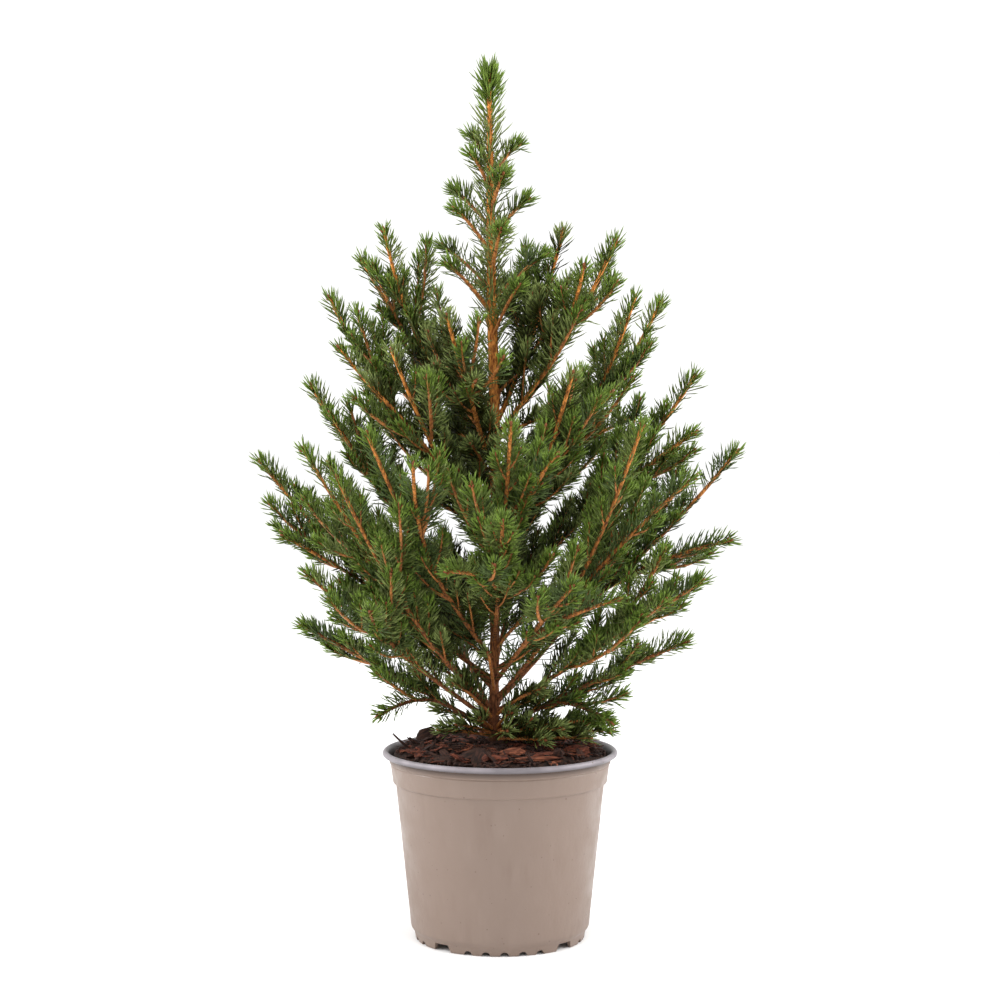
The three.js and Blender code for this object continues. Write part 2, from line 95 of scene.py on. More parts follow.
# Heights between which a painted shadow darkens the wall under the rim, and where the rim begins.
RIM_HOLLOW = (97.8, 100.6)
RIM_FOOT = (101.5, 101.9)
# Between these heights the roll goes from painted shade on its lower side to its paler top.
RIM_ROLL = (102.0, 103.6)
# How far under the pot's top its inside begins to turn darker, and from where it is fully dark.
DARK_INSIDE_UNDER_TOP = (0.8, 2.6)
# A corner's curve starts at most this share of the next side away from it, and has a few steps.
CORNER = {"limit": 0.45, "steps": 3}
# Faces that meet at less than this many degrees are shaded as one.
POT_SMOOTHING = 32
QUARTERS = 4
POT_TURN = 3
WIDE_SLOT = {"top": 9.4, "foot": 12.6, "height": 4.1, "below": 1}
ARCH = {"radius": 2.4, "per_quarter": 5, "step": 12.3, "sides": 20}
SLOT_MIDDLE = 47.6
SLOT_DEPTH = 6.4

# Mulch: the height of its surface by radius, where that is rough, and the kind, size and depth of its relief.
MULCH_FOOT = (46.2, 6.2)
MULCH_WALL = (55.9, 86.0)
MULCH_SURFACE = [
    (59.9, 99.4),
    (59.2, 102.4),
    (53.3, 104.4),
    (44.0, 106.0),
    (34.0, 107.0),
    (20.0, 108.0),
    (0.0, 108.6),
]
MULCH_RINGS = 46
MULCH_SIDES = 160
MULCH_SMOOTHING = 50
CLOUD_DEPTH = 2
ROUGH_MULCH = {"over": 97, "within": 58.5, "fade": 4}
MULCH_RELIEF = [("heaps", "CLOUDS", 9, 3.0), ("lumps", "CLOUDS", 2.6, 2.2), ("crumbs", "VORONOI", 1.6, 1.3)]

# Loose pieces on the mulch: the light and dark colour of each tone's grain as on a screen, and the least and
# greatest of each size. Lean and roll are in radians, and the shares say how often each tone comes.
CHIP_COLOURS = {
    "dark": ((68, 41, 31), (31, 18, 14)),
    "red": ((122, 64, 44), (60, 29, 21)),
    "tan": ((146, 86, 60), (78, 40, 28)),
}
CHIP_TONES = tuple(CHIP_COLOURS)
CHIP = {"length": (5, 15), "width": (3, 7), "thick": (1.0, 2.2), "reach": 56, "lift": 0.7}
CHIP_EDGE = {"reach": 57, "inset": 0.4}
CHIP_TILT = {"lean": 0.16, "roll": 0.3}
CHIP_SHARES = (0.62, 0.28, 0.1)
CHIP_KINDS = 3
CHIP_BREAK = {"corners": 0.2, "sides": 0.5, "ends": 0.7, "cup": 0.5}
EDGE_CHIP = {"from": 50, "share": 0.6}
HEAPED_CHIP = {"reach": (42, 52.5), "lift": 2, "lean": 0.45, "spread": 0.2}
HEAPED_SHARES = (0.8, 0.2, 0)
FIBRE = {"length": (6, 20), "width": (0.5, 1.5), "reach": 54, "edge": 58, "lift": 1.2}
FIBRE_TILT = {"lean": 0.14, "roll": 0.6}
FIBRE_FORM = {"rings": 5, "bend": 0.16, "taper": 0.35, "thick": 0.35}
FIBRE_SHARES = (0.45, 0.4, 0.15)
CRUMB = {"size": (0.8, 2.8), "stretch": (0.6, 1.4), "break": 0.14, "seed": 4, "reach": 58, "lift": 0.8}
# The share of the mulch's area, in its middle, that chips and fibres leave free.
FREE_MIDDLE = 0.02
# How a chip's grain is drawn out along it, and how far apart two chips stand in the pattern.
GRAIN_STRETCH = (0.22, 1, 1)
GRAIN_APART = 31.7
STICK_COURSE = [(-49.0, -5, 104.5), (-54.5, -7, 110.0), (-59.0, -8, 114.5)]
STICK_RADII = (1.0, 0.8, 0.55)
# The larger chips, which have their own places.
FEATURE_CHIPS = [
    # x, y, length, width, thickness, turn, lean, roll, lift, tone
    (-41, 14, 12, 8.5, 3.0, 16, 24, 58, 4, "dark"),
    (6, -36, 14, 6.5, 2.2, -14, 10, 24, 2, "tan"),
    (19, -44, 25, 3.4, 1.6, 4, 2, 20, 1.4, "tan"),
    (24, -37, 20, 4.0, 1.4, -9, 6, 20, 1.8, "red"),
    (-13, -41, 15, 8.0, 2.8, 12, 8, 30, 2.2, "dark"),
    (-2, -46, 13, 5.0, 1.8, -30, 5, 20, 1.8, "red"),
    (-30, -24, 22, 2.6, 1.6, 38, 4, -17, 2, "dark"),
    (41, -20, 15, 6.0, 2.0, 24, 8, 25, 2, "red"),
    (-44, -18, 13, 5.0, 1.8, -40, 9, -17, 1.6, "dark"),
    (-20, 30, 12, 6.0, 1.8, 20, 12, 40, 2, "dark"),
    (24, 38, 14, 6.5, 1.8, -10, -12, 44, 2, "red"),
    (2, 47, 12, 6.0, 1.8, 8, 14, 48, 2, "dark"),
    (-31, 38, 12, 6.0, 1.8, 28, -14, 46, 2, "dark"),
    (43, 27, 11, 5.0, 1.6, -30, 14, 40, 2, "dark"),
]

# Trunk: how far up, the lean off the pot's axis, and the radius.
TRUNK_COURSE = np.array(
    [
        (0, -3, 0, 6.6),
        (6, -3, 0, 4.9),
        (25, -3.2, 0.3, 4.1),
        (110, -2.4, 1.2, 3.7),
        (190, -3.2, 0.4, 3.4),
        (250, -4.6, -0.6, 2.6),
        (320, -5.4, -0.2, 1.9),
        (366, -6, 0, 1.1),
    ]
)
TRUNK_HEIGHT = 366
TRUNK_RINGS = 360
TRUNK_SUNK = {"depth": 5, "wider": 1}
# How much slimmer than its solid the trunk shows, by how far up.
TRUNK_SLIMMING = [(0, 20, 120, 260), (0.68, 0.64, 0.74, 1)]
# Swellings of the trunk where a year's whorl of boughs stands: how far up, and by how much.
WHORLS = [(24, 0.4), (74, 0.4), (120, 0.6), (170, 0.5), (234, 1.1), (282, 0.4)]
WHORL_SPREAD = 3.2
# Heights between which the darker foot of the trunk, its old bark and its middle give way to the next.
DARK_FOOT_BARK = (CROWN_FOOT, CROWN_FOOT + 9)
OLD_BARK = (CROWN_FOOT + 20, CROWN_FOOT + 110)
MIDDLE_BARK = (CROWN_FOOT + 130, CROWN_FOOT + 240)
# The swelling of a bough and of a fork at its foot, as a share of its radius, and how far it spreads.
COLLAR = {"main": 0.4, "fork": 0.3}
COLLAR_SPREAD = 3.4
BOUGH_TAPER = 0.8
# Radii of the thinner stems at foot and tip.
STEM_RADII = {"fork": (1.25, 0.88), "side": (1.08, 0.75), "sprig": (1.08, 0.75), "twig": (0.7, 0.5)}
# Points of a stem's end that lie this close together are one point, so that its end is closed.
CAP_SEAM = 0.01
# How far apart the places are that stand for a stem when others look for room.
PLACES_APART = 6

# Boughs, one row each: the height of the foot, then the tips of the main shoot and of its fork, each as its
# bearing round the trunk, its reach from the trunk and its height over the soil.
BOUGHS = [
    (38, (178, 130, 156), (191, 117, 116)),
    (74, (166, 106, 198), (184, 90, 182)),
    (118, (171, 91, 246), (192, 85, 218)),
    (162, (160, 77, 268), (190, 59, 282)),
    (19, (222, 110, 150), (205, 112, 164)),
    (50, (231, 104, 173), (248, 110, 158)),
    (104, (225, 75, 216), (206, 78, 202)),
    (146, (243, 52, 234), (262, 68, 200)),
    (70, (275, 98, 178), (289, 98, 163)),
    (92, (301, 80, 204), (319, 82, 194)),
    (24, (313, 112, 178), (331, 120, 150)),
    (44, (3, 134, 161), (349, 129, 114)),
    (84, (16, 118, 203), (357, 110, 172)),
    (122, (25, 106, 245), (4, 79, 246)),
    (168, (350, 69, 276), (318, 66, 261)),
    (18, (336, 120, 94), (322, 112, 112)),
    (7, (350, 106, 58), (344, 66, 14)),
    (60, (272, 114, 130), (257, 110, 104)),
    (36, (291, 110, 96), (307, 106, 88)),
    (6, (186, 106, 66), (197, 66, 18)),
    (22, (42, 122, 128), (62, 120, 100)),
    (46, (78, 122, 160), (102, 118, 136)),
    (14, (112, 124, 112), (132, 118, 76)),
    (32, (144, 120, 152), (160, 114, 118)),
    (100, (58, 98, 206), (38, 102, 180)),
    (112, (120, 92, 220), (98, 96, 192)),
    (12, (207, 112, 98), (235, 112, 82)),
    (174, (18, 42, 283), (100, 50, 256)),
]
BOUGH_BEND = {"along": 0.58, "flat": 0.82, "steep": 0.32, "full_rise": 140}
BARE_SHARE = 0.2
FORK = {"from": 0.36, "bend": 0.4}
SIDE_SHOOTS = [("main", 0.33, 1), ("main", 0.6, -1), ("fork", 0.5, 1)]
# A side shoot that finds no room at its full length is tried at the next share of it.
SIDE_TRIES = (1, 0.8, 0.62)
# To vary by a share is to be up to that much more or less.
SIDE_LENGTH = {"least": 22, "share": 0.35, "vary": 0.2}
SIDE_ANGLE = {"least": 34, "spread": 14}
SIDE_ROLL = 38
SIDE_LIFT = 0.26
# How far a branch goes to its bend, then on outwards and along its parent, as shares of its length.
BRANCH = {"to_bend": 0.5, "outwards": 0.3, "along": 0.2}
LEAST_SHOOT = 16
ROOM = 3.6
TRUNK_ROOM = 4.3
BOUGH_ROOM = 2
LIMB_MARGIN = 0.9
GAP = 0.3

# The leader's sprigs, in a slow spiral.
LEADER_FOOT = 192
SPRIG = {"count": 15, "foot": 224, "step": 6.6, "bearing": 288, "turn": 144, "wander": 20, "vary": 0.15}
SPRIG_REACH = (38, 12)
SPRIG_RISE = (27, 19)

# Sprigs that stand on the trunk itself inside the crown.
INNER_SPRIG = {"count": 20, "foot": 30, "step": 8.5, "bearing": 265, "turn": 137.5, "reach": 34, "rise": 22}
INNER_VARY = {"reach": 0.3, "rise": 0.4}

# Sprigs low on the trunk, just over the mulch: foot, bearing, reach and height of the tip.
LOW_SPRIGS = [
    (5, 322, 46, 12),
    (8, 352, 40, 21),
    (4, 283, 30, 11),
    (10, 232, 30, 22),
    (5, 347, 62, 15),
    (6, 24, 44, 13),
    (9, 62, 38, 18),
    (5, 98, 42, 13),
    (8, 148, 38, 16),
    (12, 196, 32, 27),
    (16, 314, 38, 34),
    (20, 336, 40, 44),
    (14, 228, 32, 36),
    (18, 170, 36, 44),
    (2, 336, 56, 6),
    (2, 354, 64, 8),
    (3, 14, 56, 9),
    (2, 312, 40, 6),
    (5, 214, 24, 12),
    (7, 243, 18, 15),
    (4, 190, 30, 8),
    (7, 297, 20, 19),
    (6, 318, 24, 13),
]

# Places where the sky shows through the crown from in front: how far across, how high over the floor, and the
# radius.
SKY_GAPS = [
    (17, 147, 6.6),
    (-18, 154, 6.0),
    (-20, 129, 5.0),
    (10, 164, 3.6),
    (21, 174, 4.0),
    (33, 124, 4.0),
    (-30, 136, 3.6),
    (56, 151, 3.6),
    (-46, 256, 5.6),
    (-41, 251, 5.0),
    (-42, 225, 5.0),
    (-39, 275, 4.2),
    (-53, 298, 4.2),
    (24, 301, 3.8),
    (36, 322, 3.8),
    (-9, 337, 3.6),
    (112, 247, 5.0),
    (105, 231, 4.4),
    (105, 204, 4.0),
    (75, 334, 3.6),
    (52, 360, 3.4),
    (-79, 291, 3.6),
]
# Places where the trunk shows between the sprays in front of it: low down, and again under the leader.
LOW_TRUNK_GAPS = [(-3, high, 4.8) for high in range(118, 174, 9)]
HIGH_TRUNK_GAPS = [(-4.5, high, 4.2) for high in range(302, 342, 8)]
TRUNK_GAPS = LOW_TRUNK_GAPS + HIGH_TRUNK_GAPS
GAPS_SEEN_FROM = np.array([0.0, -1260.0, 310.0])

# Finer twigs: how far apart they stand on a shoot, and how long, how wide and how high they spread.
TWIG_STEP = {"middle": 9.6, "vary": 0.3}
TWIG_FIRST = {"middle": 9, "vary": 0.4}
TWIG_EARLIEST = 0.08
TWIG_FREE_TIP = 26
TWIG_LENGTH = {"low": 27, "high": 8, "vary": 0.35, "of_rest": 0.7}
TWIG_ANGLE = {"least": 26, "spread": 18}
TWIG_ROLL = {"least": -22, "most": 62}
TWIG_LIFT = 0.26
TWIG_ROOM = 1.6
TWIG_CLEARANCE = 6
LEAST_TWIG = 6

# Buds: the rings of one by height and radius, its tip, and its sizes on the leader, on a strong shoot, on a
# twig and beside another bud.
BUD_RINGS = [(-0.6, 0.7), (0.6, 1.0), (2.0, 0.6)]
BUD_TIP = 2.9
BUD_SIDES = 5
BUD_SIZES = {"leader": 1.7, "strong": 1.0, "twig": 0.75, "beside": 0.7}
# Smaller buds that stand just behind the tip's own bud, out to its sides.
BESIDE = {"count": 2, "back": 0.6, "out": 0.9}
# A slanting direction, across which each bud is turned on its shoot.
BUD_FACING = (0.3, 0.9, 0.2)

# The columns of a needle's row.
FOOT, DIRECTION, CURVE = slice(0, 3), slice(3, 6), slice(6, 9)
LENGTH, WIDTH = slice(9, 10), slice(10, 11)
# One needle: its rings by share of its length and of its width, its tip beyond them, and how far it curves.
NEEDLE_RINGS = [(0.0, 0.6), (0.74, 1.0)]
NEEDLE_SIDES = 3
NEEDLE_FACES = 10
NEEDLE_CURVE = 0.16
# The stretch of a shoot that counts as its tip, at most and as a share of a short shoot, and how much of it
# is young.
TIP_ZONE = 14
SHORT_TIP = 0.6
YOUNG_TIP = 0.65
# Needles begin at this share of a shoot's length at the latest.
FIRST_NEEDLES = 0.09
LEAST_NEEDLES = 4
PLACE_WANDER = 0.8
# Needles are fewer at a shoot's foot, from three eighths there to their full number 5 mm further on.
FOOT_THINNING = {"from": 3, "over": 8}
# The strip under a shoot that stays bare, as a share of its girth.
PARTING = 0.36
# The way that the needled side faces: up, and in towards the trunk.
NEEDLED_SIDE = {"up": 0.85, "inwards": 0.75, "wander": 0.04}
# Each needle stands this share of a turn further round than the last, give or take some radians.
NEEDLE_TURN = {"step": 0.381966, "wander": 0.28}
# Degrees between a needle and its shoot, along the shoot and at its tip, and how far they wander.
NEEDLE_LEAN = {"low": 63, "tip": 31, "easing": 0.75, "low_wander": 13, "tip_wander": 10}
NEEDLE_RISE = 0.1
NEEDLE_FOOT = 0.7
NEEDLE_LENGTH = {"less_at_tip": 0.34, "easing": 1.5, "young": 0.9, "more_when_old": 0.14, "old_from": 60}
NEEDLE_VARY = {"length": 0.15, "least": 0.6, "most": 1.35, "width": 0.1}
NEEDLE_BEND = {"along": 0.8, "up": 0.35, "back": 0.3, "wander": 0.25}
TWIG_NEEDLE = 0.86
SPRIG_NEEDLES = {"density": 0.62, "crowding": 1.7}
LEADER_NEEDLES = {"density": 3.4, "crowding": 3.0, "tip_zone": 15, "size": 1.1, "past_tip": 2}
LEADER_TIP = {"up": 0.25, "longer": 0.2, "young": 26, "lean": 1}
NEEDLE_CLEARANCE = 1
PIECE_LIMIT = 190_000
TONES = ("tip", "fresh", "mid", "cool", "inner")
OUTER_TONES = ("fresh", "mid", "mid", "cool")
# The inner tone is partly the old needles' own darker green and partly painted shade deep in the crown.
# Old needles stand within this share of the crown's radius, which goes by height, and under this height.
OLD_SHADED_NEEDLES = {"within": 0.42, "under": 240}
CROWN_RADII = [(0, 60, 160, 260, 366), (80, 120, 125, 80, 20)]
CROWN_MIDDLE = -3.5

# Stage lights: name, place and width in metres, and the setting that holds the power.
LIGHTS = [
    ("left_light", (-1.3, 0.0, 0.75), 0.7, "side_power"),
    ("right_light", (1.3, 0.05, 0.75), 0.7, "side_power"),
    ("top_light", (0.1, -0.45, 1.55), 0.6, "top_power"),
]
LIGHT_AIM = (0, 0, 0.22)
FLOOR_SIDES = 96

# Contrast of the streaks in bark and of the grain in a chip.
STREAKS = (0.36, 0.64)
CHIP_GRAIN = (0.38, 0.62)
# A face looks inwards where its reach from the axis, in millimetres, times how squarely it looks outwards
# goes from the first of these to the second.
LOOKS_INWARDS = (-8, -24)

SEED = 7
# What is added to the seed for each kind of piece.
SEEDS = {
    "chips": 11,
    "fibres": 12,
    "crumbs": 13,
    "buds": 21,
    "leader_sprigs": 100,
    "inner_sprigs": 700,
    "twigs": 1000,
    "needles": 5000,
}
UP = np.array([0.0, 0.0, 1.0])


def from_screen(red, green, blue):
    """A colour given as it looks on a screen, 0 to 255 a channel, as the linear values a shader takes."""
    shares = [channel / 255 for channel in (red, green, blue)]
    return tuple(
        share / 12.92 if share <= 0.04045 else ((share + 0.055) / 1.055) ** 2.4 for share in shares
    )


def length_property(name, description, default):
    return bpy.props.FloatProperty(
        name=name, description=description, default=default, min=0, unit="LENGTH"
    )


def number_property(name, description, default, least=0):
    return bpy.props.FloatProperty(name=name, description=description, default=default, min=least)


def count_property(name, description, default):
    return bpy.props.IntProperty(name=name, description=description, default=default, min=0)


def colour_property(name, description, default):
    return bpy.props.FloatVectorProperty(
        name=name, description=description, default=default, subtype="COLOR", size=3, min=0, max=1
    )


class SprucePotSettings(bpy.types.PropertyGroup):
    """Finish of the plastic pot and its filling"""

    plastic: colour_property("Plastic", "Colour of the pot's wall", from_screen(128, 111, 100))
    plastic_shade: colour_property("Flow marks", "Colour of the wall's flow marks", from_screen(121, 103, 92))
    # The rim's grey is rubbed plastic and partly a painted reflection of the white light.
    rim: colour_property("Rim", "Colour of the rolled rim, rubbed grey", from_screen(116, 110, 114))
    speck: colour_property("Speck", "Colour of the plastic's dark specks", from_screen(104, 86, 76))
    # Painted shadow: the dark band that the rolled rim casts on the wall under it.
    rim_painted_shadow: colour_property("Rim shade", "Colour of the dust under the rim", from_screen(78, 62, 54))
    # The darker colour of the inside of the wall under the pot's top.
    inside_dark: colour_property("Stain", "Colour of the soil on the inside of the wall", from_screen(58, 46, 41))
    mulch: colour_property("Mulch", "Colour of the fine bark mulch", from_screen(58, 35, 25))
    mulch_shade: colour_property("Mulch shade", "Colour of the mulch's damp hollows", from_screen(24, 14, 10))
    chip_count: count_property("Chips", "How many bark chips lie on the mulch", 170)
    heap_count: count_property("Heaped chips", "How many of the chips lean on each other near the edge", 44)
    fibre_count: count_property("Fibres", "How many bark fibres lie on the mulch", 330)
    crumb_count: count_property("Crumbs", "How many crumbs lie on the mulch", 900)


class SpruceWoodSettings(bpy.types.PropertyGroup):
    """Sizes and finish of the trunk, boughs and twigs"""

    bark: colour_property("Bark", "Colour of the bark on the trunk and boughs", from_screen(172, 108, 51))
    low_bark: colour_property("Low bark", "Colour of the old bark near the mulch", from_screen(134, 82, 50))
    bark_furrow: colour_property("Furrow", "Colour of the bark's furrows and pegs", from_screen(68, 34, 12))
    twig: colour_property("Twig", "Colour of the young bark on the twigs", from_screen(206, 135, 62))
    twig_shade: colour_property("Twig shade", "Colour of the twigs' marks", from_screen(124, 67, 23))
    bud: colour_property("Bud", "Colour of the bud scales", from_screen(134, 78, 44))
    bough_foot: length_property("Bough foot", "Radius of a bough where it leaves the trunk", 1.4 * MM)
    bough_tip: length_property("Bough tip", "Radius of a bough at its tip", 0.96 * MM)
    relief: length_property("Relief", "Depth of the bark's relief on the trunk", 0.7 * MM)


class SpruceNeedleSettings(bpy.types.PropertyGroup):
    """Sizes, number and colours of the needles"""

    length: length_property("Length", "Length of a needle in the middle of a shoot", 10.7 * MM)
    width: length_property("Width", "Width of a needle", 0.74 * MM)
    per_shoot: number_property("On shoots", "Needles on a millimetre of a bough's shoot", 2.05, 0.1)
    per_twig: number_property("On twigs", "Needles on a millimetre of a finer twig", 1.95, 0.1)
    tip_crowding: number_property("Crowding", "How many times closer the needles stand at a tip", 2.4, 1)
    tip: colour_property("Tip", "Colour of the young needles at the tips", from_screen(102, 125, 48))
    fresh: colour_property("Fresh", "Colour of the lighter sprays", from_screen(118, 131, 72))
    mid: colour_property("Middle", "Colour of most sprays", from_screen(92, 107, 49))
    cool: colour_property("Cool", "Colour of the bluer sprays", from_screen(82, 99, 54))
    # Partly the darker green of old needles and partly painted shade deep in the crown.
    inner: colour_property("Inner", "Colour of the old needles near the trunk", from_screen(53, 60, 17))


class SpruceStageSettings(bpy.types.PropertyGroup):
    """Camera, floor and light"""

    distance: length_property("Distance", "How far the camera stands from the pot's axis", 1.26)
    height: length_property("Height", "Height of the camera over the floor", 0.31)
    aim: length_property("Aim", "Height of the point that the camera looks at", 0.243)
    lens: number_property("Lens", "Focal length in millimetres", 82.4, 10)
    floor: colour_property("Floor", "Colour of the floor", (0.95, 0.95, 0.95))
    floor_radius: length_property("Floor radius", "How far the floor reaches", 9.0)
    floor_glow: number_property("Floor glow", "How much light the floor gives of its own", 0.0)
    room_light: number_property("Room light", "Strength of the even white light all round", 1.1)
    side_power: number_property("Side lights", "Power of each side light in watts", 14.5)
    top_power: number_property("Top light", "Power of the light overhead in watts", 9.0)


class SpruceSettings(bpy.types.PropertyGroup):
    """All the settings of the potted spruce"""

    pot: bpy.props.PointerProperty(type=SprucePotSettings)
    wood: bpy.props.PointerProperty(type=SpruceWoodSettings)
    needles: bpy.props.PointerProperty(type=SpruceNeedleSettings)
    stage: bpy.props.PointerProperty(type=SpruceStageSettings)


# Small tools for objects and meshes.


def select_only(obj):
    bpy.ops.object.select_all(action="DESELECT")
    obj.select_set(True)
    bpy.context.view_layer.objects.active = obj


def apply_modifiers(obj):
    select_only(obj)
    for name in [modifier.name for modifier in obj.modifiers]:
        bpy.ops.object.modifier_apply(modifier=name)


def add_object(name, data):
    obj = bpy.data.objects.new(name, data)
    bpy.context.scene.collection.objects.link(obj)
    return obj


def settle(obj, name, material, slot, *nodes):
    """Names a finished piece, fixes its place in its mesh, and puts it on the part in place of its solids."""
    select_only(obj)
    bpy.ops.object.transform_apply(location=True, rotation=True, scale=True)
    obj.name = name
    obj.data.name = name
    obj.data.materials.clear()
    obj.data.materials.append(material)
    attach(obj, "root")
    if nodes:
        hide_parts(*nodes)


def mesh_from_arrays(name, points, faces, smooth=True):
    """An object from points in millimetres and lists of faces, each list with its own corner count."""
    mesh = bpy.data.meshes.new(name)
    mesh.vertices.add(len(points))
    mesh.vertices.foreach_set("co", (np.asarray(points, np.float32) * MM).ravel())
    corners = np.concatenate([np.asarray(part, np.int32).ravel() for part in faces])
    counts = np.concatenate([np.full(len(part), np.shape(part)[1], np.int32) for part in faces])
    mesh.loops.add(len(corners))
    mesh.loops.foreach_set("vertex_index", corners)
    mesh.polygons.add(len(counts))
    mesh.polygons.foreach_set("loop_start", np.concatenate([[0], np.cumsum(counts)[:-1]]).astype(np.int32))
    mesh.polygons.foreach_set("use_smooth", np.full(len(counts), smooth))
    mesh.update(calc_edges=True)
    mesh.validate()
    return add_object(name, mesh)


def copies_mesh(name, points, templates, smooth=True):
    """Like shapes in one mesh: a row of points for each, and the faces of one, as in mesh_from_arrays."""
    start = (np.arange(len(points)) * points.shape[1])[:, None, None]
    faces = [(np.array(template) + start).reshape(-1, len(template[0])) for template in templates]
    return mesh_from_arrays(name, points.reshape(-1, 3), faces, smooth)


def tube_faces(rings, sides):
    """The faces round a tube whose points run round each ring in turn."""
    return [
        [ring * sides + side, ring * sides + after, (ring + 1) * sides + after, (ring + 1) * sides + side]
        for ring in range(rings - 1)
        for side, after in enumerate([*range(1, sides), 0])
    ]


def spike_faces(rings, sides):
    """The faces of a closed spike: round it, at its tip, which is the last point, and under its foot."""
    last = (rings - 1) * sides
    tip = [[last + side, last + (side + 1) % sides, last + sides] for side in range(sides)]
    return tube_faces(rings, sides), tip, [list(reversed(range(sides)))]


def displace(obj, name, kind, size, strength, group=""):
    """A live relief from one of the built-in patterns, its size and depth in millimetres."""
    texture = bpy.data.textures.new(name, kind)
    texture.noise_scale = size * MM
    if kind == "CLOUDS":
        texture.noise_depth = CLOUD_DEPTH
    modifier = obj.modifiers.new(name, "DISPLACE")
    modifier.texture = texture
    modifier.texture_coords = "LOCAL"
    modifier.strength = strength * MM
    modifier.mid_level = 0.5
    modifier.vertex_group = group


def rounded(profile):
    """A profile whose inner corners are small curves, each starting its own distance before its corner."""
    places = [profile[0][:2]]
    for before, corner, after in zip(profile, profile[1:], profile[2:]):
        middle = np.array(corner[:2])
        arms = [np.array(side[:2]) - middle for side in (before, after)]
        lengths = [np.linalg.norm(arm) for arm in arms]
        start, end = (
            middle + arm / length * min(corner[2], length * CORNER["limit"])
            for arm, length in zip(arms, lengths)
        )
        for step in range(CORNER["steps"] + 1):
            t = step / CORNER["steps"]
            places.append(tuple((1 - t) ** 2 * start + 2 * t * (1 - t) * middle + t**2 * end))
    places.append(profile[-1][:2])
    return places


def raise_rings(profile, sides):
    """A round shell raised in edit mode, ring by ring, through a profile of radius and height."""
    radius, height = profile[0]
    bpy.ops.object.select_all(action="DESELECT")
    bpy.ops.mesh.primitive_circle_add(
        vertices=sides,
        radius=radius * MM,
        location=(0, 0, height * MM),
        fill_type="NOTHING",
        enter_editmode=True,
    )
    bpy.ops.mesh.select_all(action="SELECT")
    for (low_radius, low), (high_radius, high) in zip(profile, profile[1:]):
        rise = (0, 0, (high - low) * MM)
        share = high_radius / low_radius
        bpy.ops.mesh.extrude_edges_move(TRANSFORM_OT_translate={"value": rise})
        bpy.ops.transform.resize(value=(share, share, 1), center_override=(0, 0, high * MM))
    bpy.ops.mesh.select_all(action="SELECT")
    bpy.ops.mesh.fill_holes(sides=0)
    bpy.ops.mesh.select_all(action="SELECT")
    bpy.ops.mesh.normals_make_consistent(inside=False)
    bpy.ops.object.mode_set(mode="OBJECT")
    return bpy.context.object


# Shader effects that several finishes share.


def feed(link, value, socket):
    """Links a socket to another one, or sets it to a value."""
    if isinstance(value, bpy.types.NodeSocket):
        link(value, socket)
    else:
        socket.default_value = value


def effect(name, inputs, outputs, build):
    """A shader node group, made once. build(nodes, link, inlet, outlet) fills it."""
    group = bpy.data.node_groups.get(name)
    if group is None:
        group = bpy.data.node_groups.new(name, "ShaderNodeTree")
        for socket, value in inputs.items():
            made = group.interface.new_socket(name=socket, in_out="INPUT", socket_type="NodeSocketFloat")
            made.default_value = value
        for socket in outputs:
            group.interface.new_socket(name=socket, in_out="OUTPUT", socket_type="NodeSocketFloat")
        inlet = group.nodes.new("NodeGroupInput")
        outlet = group.nodes.new("NodeGroupOutput")
        build(group.nodes, group.links.new, inlet, outlet)
    return group


def place_coordinates(nodes):
    return nodes.new("ShaderNodeTexCoord").outputs["Object"]


def math_node(nodes, link, operation, first, second):
    node = nodes.new("ShaderNodeMath")
    node.operation = operation
    feed(link, first, node.inputs[0])
    feed(link, second, node.inputs[1])
    return node.outputs[0]


def noise_node(nodes, link, place, scale, detail, roughness=0.5):
    node = nodes.new("ShaderNodeTexNoise")
    node.inputs["Detail"].default_value = detail
    node.inputs["Roughness"].default_value = roughness
    link(place, node.inputs["Vector"])
    feed(link, scale, node.inputs["Scale"])
    return node.outputs["Fac"]


def spread_mask(nodes, link, value, low, high):
    """A value stretched so that low becomes 0 and high becomes 1. Low and high are numbers or sockets."""
    node = nodes.new("ShaderNodeMapRange")
    link(value, node.inputs["Value"])
    feed(link, low, node.inputs["From Min"])
    feed(link, high, node.inputs["From Max"])
    return node.outputs["Result"]


def build_patches(nodes, link, inlet, outlet):
    noise = noise_node(nodes, link, place_coordinates(nodes), inlet.outputs["Scale"], detail=3)
    low = math_node(nodes, link, "SUBTRACT", 0.5, inlet.outputs["Softness"])
    high = math_node(nodes, link, "ADD", 0.5, inlet.outputs["Softness"])
    link(spread_mask(nodes, link, noise, low, high), outlet.inputs["Mask"])


def build_specks(nodes, link, inlet, outlet):
    cells = nodes.new("ShaderNodeTexVoronoi")
    link(place_coordinates(nodes), cells.inputs["Vector"])
    link(inlet.outputs["Scale"], cells.inputs["Scale"])
    split = nodes.new("ShaderNodeSeparateColor")
    link(cells.outputs["Color"], split.inputs["Color"])
    size = math_node(nodes, link, "MULTIPLY", split.outputs["Red"], inlet.outputs["Size"])
    near = math_node(nodes, link, "LESS_THAN", cells.outputs["Distance"], size)
    chosen = math_node(nodes, link, "LESS_THAN", split.outputs["Green"], inlet.outputs["Share"])
    link(math_node(nodes, link, "MULTIPLY", near, chosen), outlet.inputs["Mask"])


